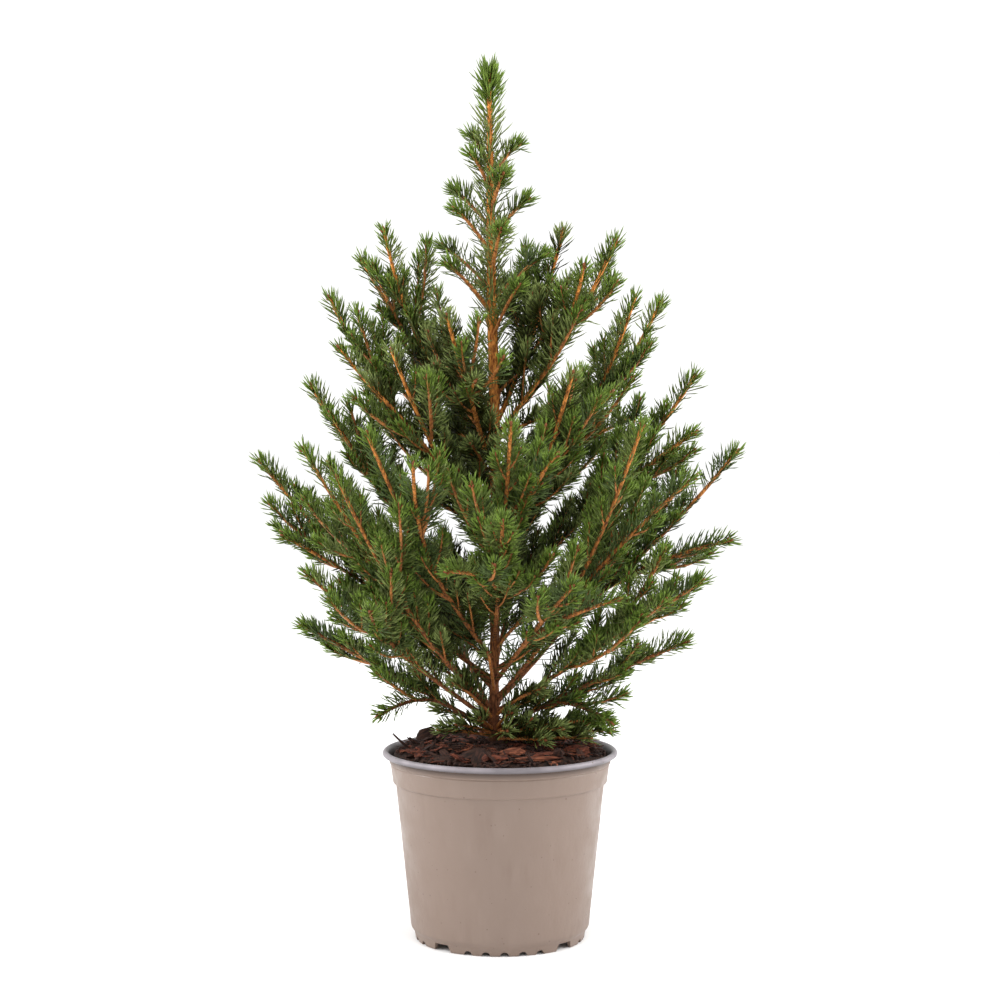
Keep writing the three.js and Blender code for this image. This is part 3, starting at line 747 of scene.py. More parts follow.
def build_grain(nodes, link, inlet, outlet):
    squeeze = nodes.new("ShaderNodeVectorMath")
    squeeze.operation = "MULTIPLY"
    stretch = nodes.new("ShaderNodeCombineXYZ")
    stretch.inputs["X"].default_value = 1
    stretch.inputs["Y"].default_value = 1
    link(inlet.outputs["Along"], stretch.inputs["Z"])
    link(place_coordinates(nodes), squeeze.inputs[0])
    link(stretch.outputs["Vector"], squeeze.inputs[1])
    place = squeeze.outputs["Vector"]
    noise = noise_node(nodes, link, place, inlet.outputs["Scale"], detail=4, roughness=0.6)
    link(spread_mask(nodes, link, noise, *STREAKS), outlet.inputs["Mask"])
    link(noise, outlet.inputs["Height"])


def shaded(colour, share):
    """A colour with a share of its light, which may be more than all of it."""
    return tuple(min(1, channel * share) for channel in colour)


class Finish:
    """A material with its own principled shader, and the ways in which colours and relief are put on it."""

    def __init__(self, name, roughness, specular):
        self.material = bpy.data.materials.new(name)
        self.material.use_nodes = True
        self.nodes = self.material.node_tree.nodes
        self.link = self.material.node_tree.links.new
        self.shader = self.nodes["Principled BSDF"]
        self.shader.inputs["Roughness"].default_value = roughness
        self.shader.inputs["Specular IOR Level"].default_value = specular

    def add_effect(self, group, **values):
        node = self.nodes.new("ShaderNodeGroup")
        node.node_tree = group
        for socket, value in values.items():
            node.inputs[socket].default_value = value
        return node.outputs

    def patches(self, scale, softness=0.16):
        """Cloudy patches, 0 to 1. Scale is in patches a metre."""
        group = effect("Patches", {"Scale": 10, "Softness": 0.16}, ["Mask"], build_patches)
        return self.add_effect(group, Scale=scale, Softness=softness)["Mask"]

    def specks(self, scale, size, share):
        """Small round specks, each 0 or 1. Scale is in cells a metre, and share says how many have one."""
        group = effect("Specks", {"Scale": 300, "Size": 0.2, "Share": 0.2}, ["Mask"], build_specks)
        return self.add_effect(group, Scale=scale, Size=size, Share=share)["Mask"]

    def grain(self, scale, along):
        """Streaks that run up the piece, as a mask and a height. Along is small where they are long."""
        group = effect("Grain", {"Scale": 600, "Along": 0.3}, ["Mask", "Height"], build_grain)
        return self.add_effect(group, Scale=scale, Along=along)

    def blend(self, mask, first, second):
        """A colour that goes from first to second with the mask. Each is a colour or a colour socket."""
        mix = self.nodes.new("ShaderNodeMix")
        mix.data_type = "RGBA"
        self.link(mask, mix.inputs["Factor"])
        for socket, colour in ((mix.inputs[6], first), (mix.inputs[7], second)):
            linked = isinstance(colour, bpy.types.NodeSocket)
            feed(self.link, colour if linked else (*colour, 1), socket)
        return mix.outputs[2]

    def colour(self, socket):
        self.link(socket, self.shader.inputs["Base Color"])

    def height_mask(self, low, high):
        """0 at one height and 1 at another, in millimetres."""
        split = self.nodes.new("ShaderNodeSeparateXYZ")
        self.link(place_coordinates(self.nodes), split.inputs["Vector"])
        return spread_mask(self.nodes, self.link, split.outputs["Z"], low * MM, high * MM)

    def inside_mask(self, high, low):
        """1 on faces that look towards the axis, under a height: none at high and all of it at low."""
        nodes, link = self.nodes, self.link
        coordinates = nodes.new("ShaderNodeTexCoord")
        facing = nodes.new("ShaderNodeVectorMath")
        facing.operation = "DOT_PRODUCT"
        flat = nodes.new("ShaderNodeVectorMath")
        flat.operation = "MULTIPLY"
        flat.inputs[1].default_value = (1, 1, 0)
        link(coordinates.outputs["Object"], flat.inputs[0])
        link(flat.outputs["Vector"], facing.inputs[0])
        link(coordinates.outputs["Normal"], facing.inputs[1])
        bounds = [bound * MM for bound in LOOKS_INWARDS]
        inward = spread_mask(nodes, link, facing.outputs["Value"], *bounds)
        return math_node(nodes, link, "MULTIPLY", inward, self.height_mask(high, low))

    def roughness_between(self, mask, low, high):
        node = self.nodes.new("ShaderNodeMapRange")
        self.link(mask, node.inputs["Value"])
        node.inputs["To Min"].default_value = low
        node.inputs["To Max"].default_value = high
        self.link(node.outputs["Result"], self.shader.inputs["Roughness"])

    def bump(self, height, depth):
        """Fine relief, its depth in millimetres."""
        node = self.nodes.new("ShaderNodeBump")
        node.inputs["Strength"].default_value = 1
        node.inputs["Distance"].default_value = depth * MM
        self.link(height, node.inputs["Height"])
        self.link(node.outputs["Normal"], self.shader.inputs["Normal"])


def pot_finish(settings):
    finish = Finish("pot_plastic", roughness=0.5, specular=0.4)
    flow = finish.patches(scale=34, softness=0.2)
    wall = finish.blend(flow, settings.plastic, settings.plastic_shade)
    streaks = finish.grain(scale=150, along=0.12)["Mask"]
    wall = finish.blend(streaks, wall, finish.blend(flow, settings.plastic_shade, settings.plastic))
    # Rim: rubbed grey, partly a painted reflection of the white light, with painted shade under its roll.
    rubbed = finish.patches(scale=70, softness=0.2)
    rim = finish.blend(rubbed, settings.rim, shaded(settings.rim, share=1.7))
    rim = finish.blend(finish.height_mask(*RIM_ROLL), shaded(settings.rim, share=0.6), rim)
    # Painted shadow on the wall just under the rim.
    wall = finish.blend(finish.height_mask(*RIM_HOLLOW), wall, settings.rim_painted_shadow)
    outer = finish.blend(finish.height_mask(*RIM_FOOT), wall, rim)
    # The inside of the wall turns darker under the pot's top.
    darkened = finish.inside_mask(*[POT_HEIGHT - under for under in DARK_INSIDE_UNDER_TOP])
    whole = finish.blend(darkened, outer, settings.inside_dark)
    dots = finish.specks(scale=480, size=0.24, share=0.16)
    finish.colour(finish.blend(dots, whole, settings.speck))
    finish.roughness_between(finish.patches(scale=90), low=0.36, high=0.54)
    finish.bump(finish.patches(scale=520, softness=0.4), depth=0.07)
    return finish.material


def mulch_finish(settings):
    finish = Finish("fine_mulch", roughness=0.9, specular=0.3)
    damp = finish.patches(scale=420, softness=0.14)
    finish.colour(finish.blend(damp, settings.mulch_shade, settings.mulch))
    finish.bump(finish.patches(scale=1500, softness=0.3), depth=0.3)
    return finish.material


def chip_finish(tone, light, dark):
    """Torn bark: its grain follows each chip, by the place that every point has in its own chip."""
    finish = Finish("bark_chip_" + tone, roughness=0.85, specular=0.35)
    own = finish.nodes.new("ShaderNodeAttribute")
    own.attribute_name = "own_place"
    noise = noise_node(finish.nodes, finish.link, own.outputs["Vector"], scale=900, detail=4)
    mask = spread_mask(finish.nodes, finish.link, noise, *CHIP_GRAIN)
    finish.colour(finish.blend(mask, dark, light))
    finish.bump(noise, depth=0.4)
    return finish.material


def bark_finish(settings):
    finish = Finish("bark", roughness=0.82, specular=0.3)
    streaks = finish.grain(scale=900, along=0.3)
    worn = finish.patches(scale=70, softness=0.2)
    orange = finish.blend(worn, settings.bark, settings.twig)
    youth = finish.height_mask(*MIDDLE_BARK)
    furrows = finish.blend(youth, settings.bark_furrow, settings.twig_shade)
    ridges = finish.blend(youth, orange, shaded(settings.twig, share=1.45))
    clean = finish.blend(streaks["Mask"], furrows, ridges)
    old = finish.blend(streaks["Mask"], settings.bark_furrow, settings.low_bark)
    clean = finish.blend(finish.height_mask(*OLD_BARK), old, clean)
    # The trunk is darker at its foot, just over the mulch.
    darkened = shaded(settings.bark_furrow, share=0.6)
    finish.colour(finish.blend(finish.height_mask(*DARK_FOOT_BARK), darkened, clean))
    finish.bump(streaks["Height"], depth=0.5)
    return finish.material


def twig_finish(settings):
    finish = Finish("twig_bark", roughness=0.6, specular=0.5)
    marks = finish.patches(scale=620)
    age = finish.patches(scale=34, softness=0.2)
    bark = finish.blend(age, settings.twig, settings.bark)
    finish.colour(finish.blend(marks, settings.twig_shade, bark))
    finish.bump(marks, depth=0.35)
    return finish.material


def bud_finish(settings):
    finish = Finish("bud_scales", roughness=0.6, specular=0.4)
    scales = finish.patches(scale=900, softness=0.2)
    finish.colour(finish.blend(scales, settings.twig_shade, settings.bud))
    finish.bump(scales, depth=0.15)
    return finish.material


def needle_finish(tone, colour):
    """Needle green, with a faint drift of lightness from needle to needle."""
    finish = Finish("needle_" + tone, roughness=0.55, specular=0.17)
    drift = finish.patches(scale=330, softness=0.18)
    finish.colour(finish.blend(drift, shaded(colour, share=0.48), shaded(colour, share=1.41)))
    finish.roughness_between(drift, low=0.48, high=0.62)
    return finish.material


# Growth of the crown.


class Draw:
    """A row of random numbers from 0 to 1 that is the same for the same seed."""

    def __init__(self, seed):
        self.state = ((seed + SEED) * 40503 + 12345) % 2**32

    def __call__(self):
        self.state = (self.state * 1664525 + 1013904223) % 2**32
        return self.state / 2**32

    def about(self, vary):
        """A number about 1, up to a share less or more."""
        return 1 - vary + 2 * vary * self()


def unit(vector):
    return vector / np.linalg.norm(vector, axis=-1, keepdims=True)


def lerp(first, second, share):
    return first + (second - first) * share


class Sweep:
    """A curve with one bend, from a start to an end."""

    def __init__(self, start, bend, end):
        self.start, self.bend, self.end = (np.asarray(place, float) for place in (start, bend, end))

    def point(self, t):
        t = np.asarray(t, float)[..., None]
        return (1 - t) ** 2 * self.start + 2 * t * (1 - t) * self.bend + t**2 * self.end

    def tangent(self, t):
        t = np.asarray(t, float)[..., None]
        return unit((1 - t) * (self.bend - self.start) + t * (self.end - self.bend))

    def length(self):
        return np.linalg.norm(np.diff(self.point(np.linspace(0, 1, 201)), axis=0), axis=1).sum()

    def across(self):
        """The normal of the plane that the curve lies in."""
        normal = np.cross(self.tangent(0), self.tangent(1))
        if np.linalg.norm(normal) < 1e-4:
            normal = np.cross(self.tangent(0.5), UP)
        return unit(normal)

    def shortened(self, share):
        return Sweep(self.start, lerp(self.start, self.bend, share), self.point(share))


TRUNK_UPS = TRUNK_COURSE[:, 0]
TRUNK_PLACES = np.column_stack([TRUNK_COURSE[:, 1], TRUNK_COURSE[:, 2], CROWN_FOOT + TRUNK_UPS])


def trunk_place(up):
    """The middle of the trunk at a height over the soil, on a smooth course through its places."""
    row = max(1, int(np.searchsorted(TRUNK_UPS, up - 1e-6)))
    share = (up - TRUNK_UPS[row - 1]) / (TRUNK_UPS[row] - TRUNK_UPS[row - 1])
    low, high = TRUNK_PLACES[row - 1], TRUNK_PLACES[row]
    before = TRUNK_PLACES[row - 2] if row > 1 else 2 * low - high
    after = TRUNK_PLACES[row + 1] if row + 1 < len(TRUNK_PLACES) else 2 * high - low
    first, middle, last = (
        np.linalg.norm(end - start) ** 0.5 for start, end in ((before, low), (low, high), (high, after))
    )
    leave = ((low - before) / first - (high - before) / (first + middle) + (high - low) / middle) * middle
    reach = ((high - low) / middle - (after - low) / (middle + last) + (after - high) / last) * middle
    square = 3 * (high - low) - 2 * leave - reach
    cube = 2 * (low - high) + leave + reach
    return low + leave * share + square * share**2 + cube * share**3


def trunk_places(ups):
    return np.array([trunk_place(up) for up in ups])


def trunk_radius(up):
    return np.interp(up, TRUNK_UPS, TRUNK_COURSE[:, 3])


def round_trunk(bearing, reach, up):
    """A point at a bearing round the trunk, at a height over the soil."""
    trunk = trunk_place(min(max(up, 0), TRUNK_HEIGHT))
    turn = math.radians(bearing)
    return np.array([trunk[0] + reach * math.cos(turn), trunk[1] + reach * math.sin(turn), CROWN_FOOT + up])


def bough_sweep(foot, target):
    """A bough's course: it leaves the trunk low and sweeps up to its tip."""
    bearing, reach, tip = target
    steepness = min(1, (tip - foot) / BOUGH_BEND["full_rise"])
    share = lerp(BOUGH_BEND["flat"], BOUGH_BEND["steep"], steepness)
    bend = round_trunk(bearing, reach * BOUGH_BEND["along"], foot + (tip - foot) * share)
    return Sweep(trunk_place(foot), bend, round_trunk(bearing, reach, tip))


def fork_sweep(main, main_reach, target):
    bearing, reach, tip = target
    share = FORK["from"] * min(1, reach / main_reach)
    start = main.point(share)
    end = round_trunk(bearing, reach, tip)
    bend = start + main.tangent(share) * np.linalg.norm(end - start) * FORK["bend"]
    return Sweep(start, bend, end)


def branch_sweep(parent, at, angle, flank, roll, length, lift):
    """A shoot that leaves its parent on one flank, its angles in degrees, then turns along with it and up."""
    point, along, across = parent.point(at), parent.tangent(at), parent.across()
    in_plane = unit(np.cross(across, along))
    angle, roll = math.radians(angle), math.radians(roll)
    outward = across * flank * math.cos(roll) + in_plane * math.sin(roll)
    away = along * math.cos(angle) + outward * math.sin(angle)
    bend = point + away * length * BRANCH["to_bend"]
    end = bend + away * length * BRANCH["outwards"] + along * length * BRANCH["along"] + UP * length * lift
    return Sweep(point, bend, end)


def side_sweep(parent, at, flank, draw):
    angle = SIDE_ANGLE["least"] + SIDE_ANGLE["spread"] * draw()
    roll = SIDE_ROLL * (2 * draw() - 1)
    longer = SIDE_LENGTH["share"] * parent.length() * (1 - at) * draw.about(SIDE_LENGTH["vary"])
    return branch_sweep(parent, at, angle, flank, roll, SIDE_LENGTH["least"] + longer, SIDE_LIFT)


@dataclass
class Shoot:
    """A shoot with needles: its mass, its course, where on it the needles start, its rank and its places."""

    mass: str
    sweep: Sweep
    start: float
    rank: str
    axis: np.ndarray


def shoot_of(mass, sweep, start, rank):
    pieces = max(2, round(sweep.length() * (1 - start) / PLACES_APART))
    return Shoot(mass, sweep, start, rank, sweep.point(np.linspace(start, 1, pieces + 1)))


def sprig_of(mass, foot, target):
    """A sprig on the trunk, with its needles from just outside the bark."""
    sweep = bough_sweep(foot, target)
    return shoot_of(mass, sweep, (trunk_radius(foot) + 2 * GAP) / sweep.length(), "sprig")


def distance_to_line(points, line):
    """How far each of the points is from a line through a row of places."""
    start, step = line[:-1], np.diff(line, axis=0)
    away = points[:, None] - start
    share = np.clip((away * step).sum(axis=2) / (step * step).sum(axis=1), 0, 1)
    return np.linalg.norm(away - share[..., None] * step, axis=2).min(axis=1)


def in_gaps(points, gaps):
    """Which of the points stand in a gap, as it is seen from in front."""
    away = points - GAPS_SEEN_FROM
    scale = -GAPS_SEEN_FROM[1] / away[:, 1]
    across = away[:, 0] * scale
    high = GAPS_SEEN_FROM[2] + away[:, 2] * scale
    inside = np.zeros(len(points), bool)
    for gap_across, gap_high, radius in gaps:
        inside |= np.hypot(across - gap_across, high - gap_high) < radius
    return inside


class Crown:
    """The plan of the crown: the boughs' shoots and forks, the side shoots that find room, and finer twigs.

    Limbs are what other masses keep off, each as its mass, a line of places and a radius.
    """

    def __init__(self):
        self.limbs = [("trunk", trunk_places(range(0, TRUNK_HEIGHT + 1, PLACES_APART)), TRUNK_ROOM)]
        self.shoots = []
        self.grow_boughs()
        self.grow_leader()
        self.grow_sides()
        self.twigs = []
        self.grow_inner_sprigs()
        self.grow_twigs()

    def room(self, points, mass):
        """How far each point is from the next mass's space and from every limb but its own."""
        found = [distance_to_line(points, other.axis) / 2 for other in self.shoots if other.mass != mass]
        for name, line, radius in self.limbs:
            if name != mass:
                found.append(distance_to_line(points, line) - radius - LIMB_MARGIN)
        return np.min(found, axis=0)

    def grow_boughs(self):
        self.boughs = []
        for row, (foot, main_tip, fork_tip) in enumerate(BOUGHS):
            mass = f"foliage_{row + 1:02d}"
            main = bough_sweep(foot, main_tip)
            fork = fork_sweep(main, main_tip[1], fork_tip)
            self.limbs.append((mass, main.point(np.linspace(0, BARE_SHARE, 5)), BOUGH_ROOM))
            self.shoots.append(shoot_of(mass, main, BARE_SHARE + GAP / main.length(), "main"))
            self.shoots.append(shoot_of(mass, fork, 0, "fork"))
            self.boughs.append({"mass": mass, "main": main, "fork": fork, "draw": Draw(row)})

    def grow_leader(self):
        axis = trunk_places(range(LEADER_FOOT, TRUNK_HEIGHT + 1, 5))
        self.shoots.append(Shoot("leader", None, 0, "leader", axis))
        for sprig in range(SPRIG["count"]):
            draw = Draw(SEEDS["leader_sprigs"] + sprig)
            share = sprig / (SPRIG["count"] - 1)
            foot = SPRIG["foot"] + SPRIG["step"] * sprig
            bearing = SPRIG["bearing"] + SPRIG["turn"] * sprig + SPRIG["wander"] * (draw() - 0.5)
            reach = lerp(*SPRIG_REACH, share) * draw.about(SPRIG["vary"])
            tip = foot + lerp(*SPRIG_RISE, share)
            self.shoots.append(sprig_of("leader", foot, (bearing, reach, tip)))

    def grow_sides(self):
        for on, at, flank in SIDE_SHOOTS:
            for bough in self.boughs:
                sweep = side_sweep(bough[on], at, flank, bough["draw"])
                for share in SIDE_TRIES:
                    side = shoot_of(bough["mass"], sweep.shortened(share), 0, "side")
                    free = (self.room(side.axis[2:], side.mass) > ROOM).all()
                    if free and side.sweep.length() >= LEAST_SHOOT:
                        self.shoots.append(side)
                        break

    def grow_inner_sprigs(self):
        rows = list(LOW_SPRIGS)
        for sprig in range(INNER_SPRIG["count"]):
            draw = Draw(SEEDS["inner_sprigs"] + sprig)
            foot = INNER_SPRIG["foot"] + INNER_SPRIG["step"] * sprig
            bearing = INNER_SPRIG["bearing"] + INNER_SPRIG["turn"] * sprig
            reach = INNER_SPRIG["reach"] * draw.about(INNER_VARY["reach"])
            rise = INNER_SPRIG["rise"] * draw.about(INNER_VARY["rise"])
            rows.append((foot, bearing, reach, foot + rise))
        for foot, *target in rows:
            sprig = sprig_of("trunk", foot, target)
            before_sky = in_gaps(sprig.axis, SKY_GAPS).any()
            before_trunk = in_gaps(sprig.axis[3:], HIGH_TRUNK_GAPS).any()
            if not before_sky and not before_trunk:
                self.twigs.append(sprig)

    def grow_twigs(self):
        for number, parent in enumerate([*self.shoots, *self.twigs]):
            if parent.sweep is None or (parent.rank == "sprig" and parent.mass == "leader"):
                continue
            draw = Draw(SEEDS["twigs"] + number)
            total = parent.sweep.length()
            reach = total * min(parent.start, TWIG_EARLIEST)
            reach += TWIG_FIRST["middle"] * draw.about(TWIG_FIRST["vary"])
            flank = 1 if draw() < 0.5 else -1
            while reach < total - TWIG_FREE_TIP:
                at = reach / total
                angle = TWIG_ANGLE["least"] + TWIG_ANGLE["spread"] * draw()
                roll = lerp(TWIG_ROLL["least"], TWIG_ROLL["most"], draw())
                length = lerp(TWIG_LENGTH["low"], TWIG_LENGTH["high"], at) * draw.about(TWIG_LENGTH["vary"])
                length = min(length, TWIG_LENGTH["of_rest"] * (total - reach))
                sweep = branch_sweep(parent.sweep, at, angle, flank, roll, length, TWIG_LIFT)
                twig = shoot_of(parent.mass, sweep, 0, "twig")
                if length > LEAST_TWIG and self.is_clear(twig):
                    self.twigs.append(twig)
                reach += TWIG_STEP["middle"] * draw.about(TWIG_STEP["vary"])
                flank = -flank

    def is_clear(self, twig):
        """Whether a twig keeps off the mulch, out of the gaps and out of other masses."""
        end = twig.axis[-1:]
        over_mulch = end[0][2] > CROWN_FOOT + TWIG_CLEARANCE
        free = over_mulch and not in_gaps(twig.axis, SKY_GAPS + TRUNK_GAPS).any()
        return free and self.room(end, twig.mass)[0] > TWIG_ROOM


_grown = []


def crown():
    if not _grown:
        _grown.append(Crown())
    return _grown[0]


# Needles as arrays.


def needle_places(length, density, crowding, tip_zone, random):
    """Places along a shoot, in millimetres from its foot, that crowd towards its tip."""
    steps = np.linspace(0, length, 64)
    weight = density * np.where(steps > length - tip_zone, crowding, 1.0)
    weight *= np.minimum((steps + FOOT_THINNING["from"]) / FOOT_THINNING["over"], 1)
    summed = np.concatenate([[0], np.cumsum((weight[1:] + weight[:-1]) / 2 * np.diff(steps))])
    count = max(LEAST_NEEDLES, int(summed[-1]))
    shares = (np.arange(count) + random.random(count) * PLACE_WANDER) / count
    return np.interp(shares * summed[-1], summed, steps)


def needle_rows(points, along, from_tip, radius, size, parting, random):
    """One row for each needle of a shoot: foot, direction, the way it curves, length and width."""
    count = len(points)
    near_tip = np.clip(1 - from_tip / TIP_ZONE, 0, 1)
    outward = points - np.column_stack([np.full(count, CROWN_MIDDLE), np.zeros(count), points[:, 2]])
    outward /= np.maximum(np.linalg.norm(outward, axis=1, keepdims=True), 1e-6)
    upper = UP * NEEDLED_SIDE["up"] - outward * NEEDLED_SIDE["inwards"]
    upper += random.normal(0, NEEDLED_SIDE["wander"], (count, 3))
    upper = unit(upper - along * (upper * along).sum(axis=1, keepdims=True))
    flank = np.cross(along, upper)
    turns = (np.arange(count) * NEEDLE_TURN["step"] + random.random()) % 1
    around = np.pi * (2 * turns - 1) * (1 - parting * (1 - near_tip))
    around += random.normal(0, NEEDLE_TURN["wander"], count)
    side = upper * np.cos(around)[:, None] + flank * np.sin(around)[:, None]
    lean = lerp(NEEDLE_LEAN["low"], NEEDLE_LEAN["tip"], near_tip ** NEEDLE_LEAN["easing"])
    wander = lerp(NEEDLE_LEAN["low_wander"], NEEDLE_LEAN["tip_wander"], near_tip)
    lean = np.radians(lean + random.normal(0, 1, count) * wander)
    direction = along * np.cos(lean)[:, None] + side * np.sin(lean)[:, None]
    direction = unit(direction + UP * NEEDLE_RISE)
    foot = points + side * (radius * NEEDLE_FOOT)[:, None]
    old = np.clip(from_tip / NEEDLE_LENGTH["old_from"], 0, 1)
    length = size[0] * (1 - NEEDLE_LENGTH["less_at_tip"] * near_tip ** NEEDLE_LENGTH["easing"])
    length *= NEEDLE_LENGTH["young"] + NEEDLE_LENGTH["more_when_old"] * old
    varied = random.normal(1, NEEDLE_VARY["length"], count)
    length *= varied.clip(NEEDLE_VARY["least"], NEEDLE_VARY["most"])
    width = size[1] * random.normal(1, NEEDLE_VARY["width"], count)
    curve = along * NEEDLE_BEND["along"] + UP * NEEDLE_BEND["up"] - direction * NEEDLE_BEND["back"]
    curve = unit(curve + random.normal(0, NEEDLE_BEND["wander"], (count, 3)))
    return np.column_stack([foot, direction, curve, length, width])


def shoot_needles(shoot, settings, stem_radius, random):
    """The needles of one shoot, and which of them stand at its tip."""
    fine = shoot.rank == "twig"
    density = settings.per_twig if fine else settings.per_shoot
    crowding = settings.tip_crowding
    if shoot.rank == "sprig":
        density *= SPRIG_NEEDLES["density"]
        crowding *= SPRIG_NEEDLES["crowding"]
    full = shoot.sweep.length()
    start = min(shoot.start, FIRST_NEEDLES)
    length = full * (1 - start)
    zone = min(TIP_ZONE, length * SHORT_TIP)
    places = needle_places(length, density, crowding, zone, random)
    t = start + places / full
    points, along = shoot.sweep.point(t), shoot.sweep.tangent(t)
    from_tip = length - places
    size = (settings.length / MM * (TWIG_NEEDLE if fine else 1), settings.width / MM)
    rows = needle_rows(points, along, from_tip, stem_radius(t), size, PARTING, random)
    return rows, from_tip < zone * YOUNG_TIP


def leader_needles(settings, random):
    """Needles on the leader: few and steep on the stem, and a close brush over its tip."""
    brush = LEADER_NEEDLES
    length = TRUNK_HEIGHT - LEADER_FOOT + brush["past_tip"]
    places = needle_places(length, brush["density"], brush["crowding"], brush["tip_zone"], random)
    ups = np.minimum(LEADER_FOOT + places, TRUNK_HEIGHT)
    points = trunk_places(ups)
    points[:, 2] += LEADER_FOOT + places - ups
    from_tip = length - places
    size = (settings.length / MM * brush["size"], settings.width / MM * brush["size"])
    along = np.tile(UP, (len(ups), 1))
    rows = needle_rows(points, along, from_tip + LEADER_TIP["lean"], trunk_radius(ups), size, 0.0, random)
    rows[:, DIRECTION] = unit(rows[:, DIRECTION] + UP * LEADER_TIP["up"])
    rows[:, LENGTH] *= 1 + LEADER_TIP["longer"] * np.clip(1 - from_tip / TIP_ZONE, 0, 1)[:, None]
    return rows, from_tip < LEADER_TIP["young"]


def needle_mesh(name, rows):
    """All the needles of one piece as slim three-sided spikes."""
    foot, direction, curve, length, width = (
        rows[:, part] for part in (FOOT, DIRECTION, CURVE, LENGTH, WIDTH)
    )
    flat = unit(np.cross(direction, curve))
    rise = np.cross(direction, flat)
    points = []
    for share, thick in NEEDLE_RINGS:
        middle = foot + direction * length * share + curve * length * NEEDLE_CURVE * share**2
        for corner in range(NEEDLE_SIDES):
            turn = 2 * math.pi * corner / NEEDLE_SIDES
            points.append(middle + (flat * math.cos(turn) + rise * math.sin(turn)) * width / 2 * thick)
    points.append(foot + direction * length + curve * length * NEEDLE_CURVE)
    return copies_mesh(name, np.stack(points, axis=1), spike_faces(len(NEEDLE_RINGS), NEEDLE_SIDES))


# Stems as curves.


def stem_object(name, courses, sides_step):
    """Round stems from rows of points with radii, made as one curve object and turned into a mesh."""
    curve = bpy.data.curves.new(name, "CURVE")
    curve.dimensions = "3D"
    curve.bevel_depth = MM
    curve.bevel_resolution = sides_step
    curve.use_fill_caps = True
    for points, radii in courses:
        spline = curve.splines.new("POLY")
        spline.points.add(len(points) - 1)
        spline.points.foreach_set("co", np.column_stack([points * MM, np.ones(len(points))]).ravel())
        spline.points.foreach_set("radius", np.asarray(radii, float))
    select_only(add_object(name, curve))
    bpy.ops.object.convert(target="MESH")
    bpy.ops.object.mode_set(mode="EDIT")
    bpy.ops.mesh.select_all(action="SELECT")
    bpy.ops.mesh.remove_doubles(threshold=CAP_SEAM * MM)
    bpy.ops.mesh.normals_make_consistent(inside=False)
    bpy.ops.object.mode_set(mode="OBJECT")
    bpy.ops.object.shade_smooth()
    return bpy.context.object


def shoot_course(shoot, radius_at, spacing):
    steps = max(3, round(shoot.sweep.length() / spacing))
    t = np.linspace(0, 1, steps + 1)
    return shoot.sweep.point(t), radius_at(t)


def stem_radius_of(shoot, settings):
    """The rule by which a stem thins from its foot to its tip, in millimetres."""
    if shoot.rank == "main":
        foot, tip, taper = settings.bough_foot / MM, settings.bough_tip / MM, BOUGH_TAPER
    else:
        foot, tip = STEM_RADII[shoot.rank]
        taper = 1
    return lambda t: lerp(foot, tip, np.asarray(t) ** taper)


class SPRUCE_OT_make_pot(bpy.types.Operator):
    """Makes the plastic pot with its rolled rim, step and drain slots"""

    bl_idname = "spruce.make_pot"
    bl_label = "Make pot"

    def execute(self, context):
        settings = context.scene.spruce.pot
        pot = raise_rings(rounded(POT_PROFILE), POT_SIDES)
        cutters = [self.slot_cutter(number) for number in range(QUARTERS * (ARCH["per_quarter"] + 1))]
        select_only(cutters[0])
        for cutter in cutters:
            cutter.select_set(True)
        bpy.ops.object.join()
        cut = pot.modifiers.new("slots", "BOOLEAN")
        cut.operation = "DIFFERENCE"
        cut.solver = "EXACT"
        cut.object = cutters[0]
        apply_modifiers(pot)
        bpy.data.objects.remove(cutters[0])
        select_only(pot)
        bpy.ops.object.shade_smooth_by_angle(angle=math.radians(POT_SMOOTHING))
        settle(pot, "pot_shell", pot_finish(settings), "pot_plastic", "pot")
        return {"FINISHED"}

    def slot_cutter(self, number):
        """A block with slanting ends for a wide slot, or a tube for an arch, laid through the foot ring."""
        quarter, place = divmod(number, ARCH["per_quarter"] + 1)
        bearing = 45 + 90 * quarter + POT_TURN
        bpy.ops.object.select_all(action="DESELECT")
        if place == 0:
            height = WIDE_SLOT["height"] + WIDE_SLOT["below"]
            middle = height / 2 - WIDE_SLOT["below"]
            bpy.ops.mesh.primitive_cube_add(size=MM, location=(0, 0, middle * MM))
            cutter = bpy.context.object
            cutter.scale = (SLOT_DEPTH, WIDE_SLOT["foot"], height)
            bpy.ops.object.transform_apply(location=True, rotation=False, scale=True)
            bpy.ops.object.mode_set(mode="EDIT")
            bpy.ops.mesh.select_all(action="DESELECT")
            bpy.ops.object.mode_set(mode="OBJECT")
            for vertex in cutter.data.vertices:
                vertex.select = vertex.co.z > 0
            bpy.ops.object.mode_set(mode="EDIT")
            share = WIDE_SLOT["top"] / WIDE_SLOT["foot"]
            bpy.ops.transform.resize(value=(1, share, 1), center_override=(0, 0, 0))
            bpy.ops.object.mode_set(mode="OBJECT")
        else:
            bearing += 45 + (place - 1 - (ARCH["per_quarter"] - 1) / 2) * ARCH["step"]
            bpy.ops.mesh.primitive_cylinder_add(
                vertices=ARCH["sides"],
                radius=ARCH["radius"] * MM,
                depth=SLOT_DEPTH * MM,
                rotation=(0, math.pi / 2, 0),
            )
            cutter = bpy.context.object
            bpy.ops.object.transform_apply(location=True, rotation=True, scale=True)
        turn = math.radians(bearing)
        cutter.location = (SLOT_MIDDLE * MM * math.cos(turn), SLOT_MIDDLE * MM * math.sin(turn), 0)
        cutter.rotation_euler = (0, 0, turn)
        bpy.ops.object.transform_apply(location=True, rotation=True, scale=True)
        return cutter


def mulch_height(reach):
    radii, heights = zip(*reversed(MULCH_SURFACE))
    return np.interp(reach, radii, heights)


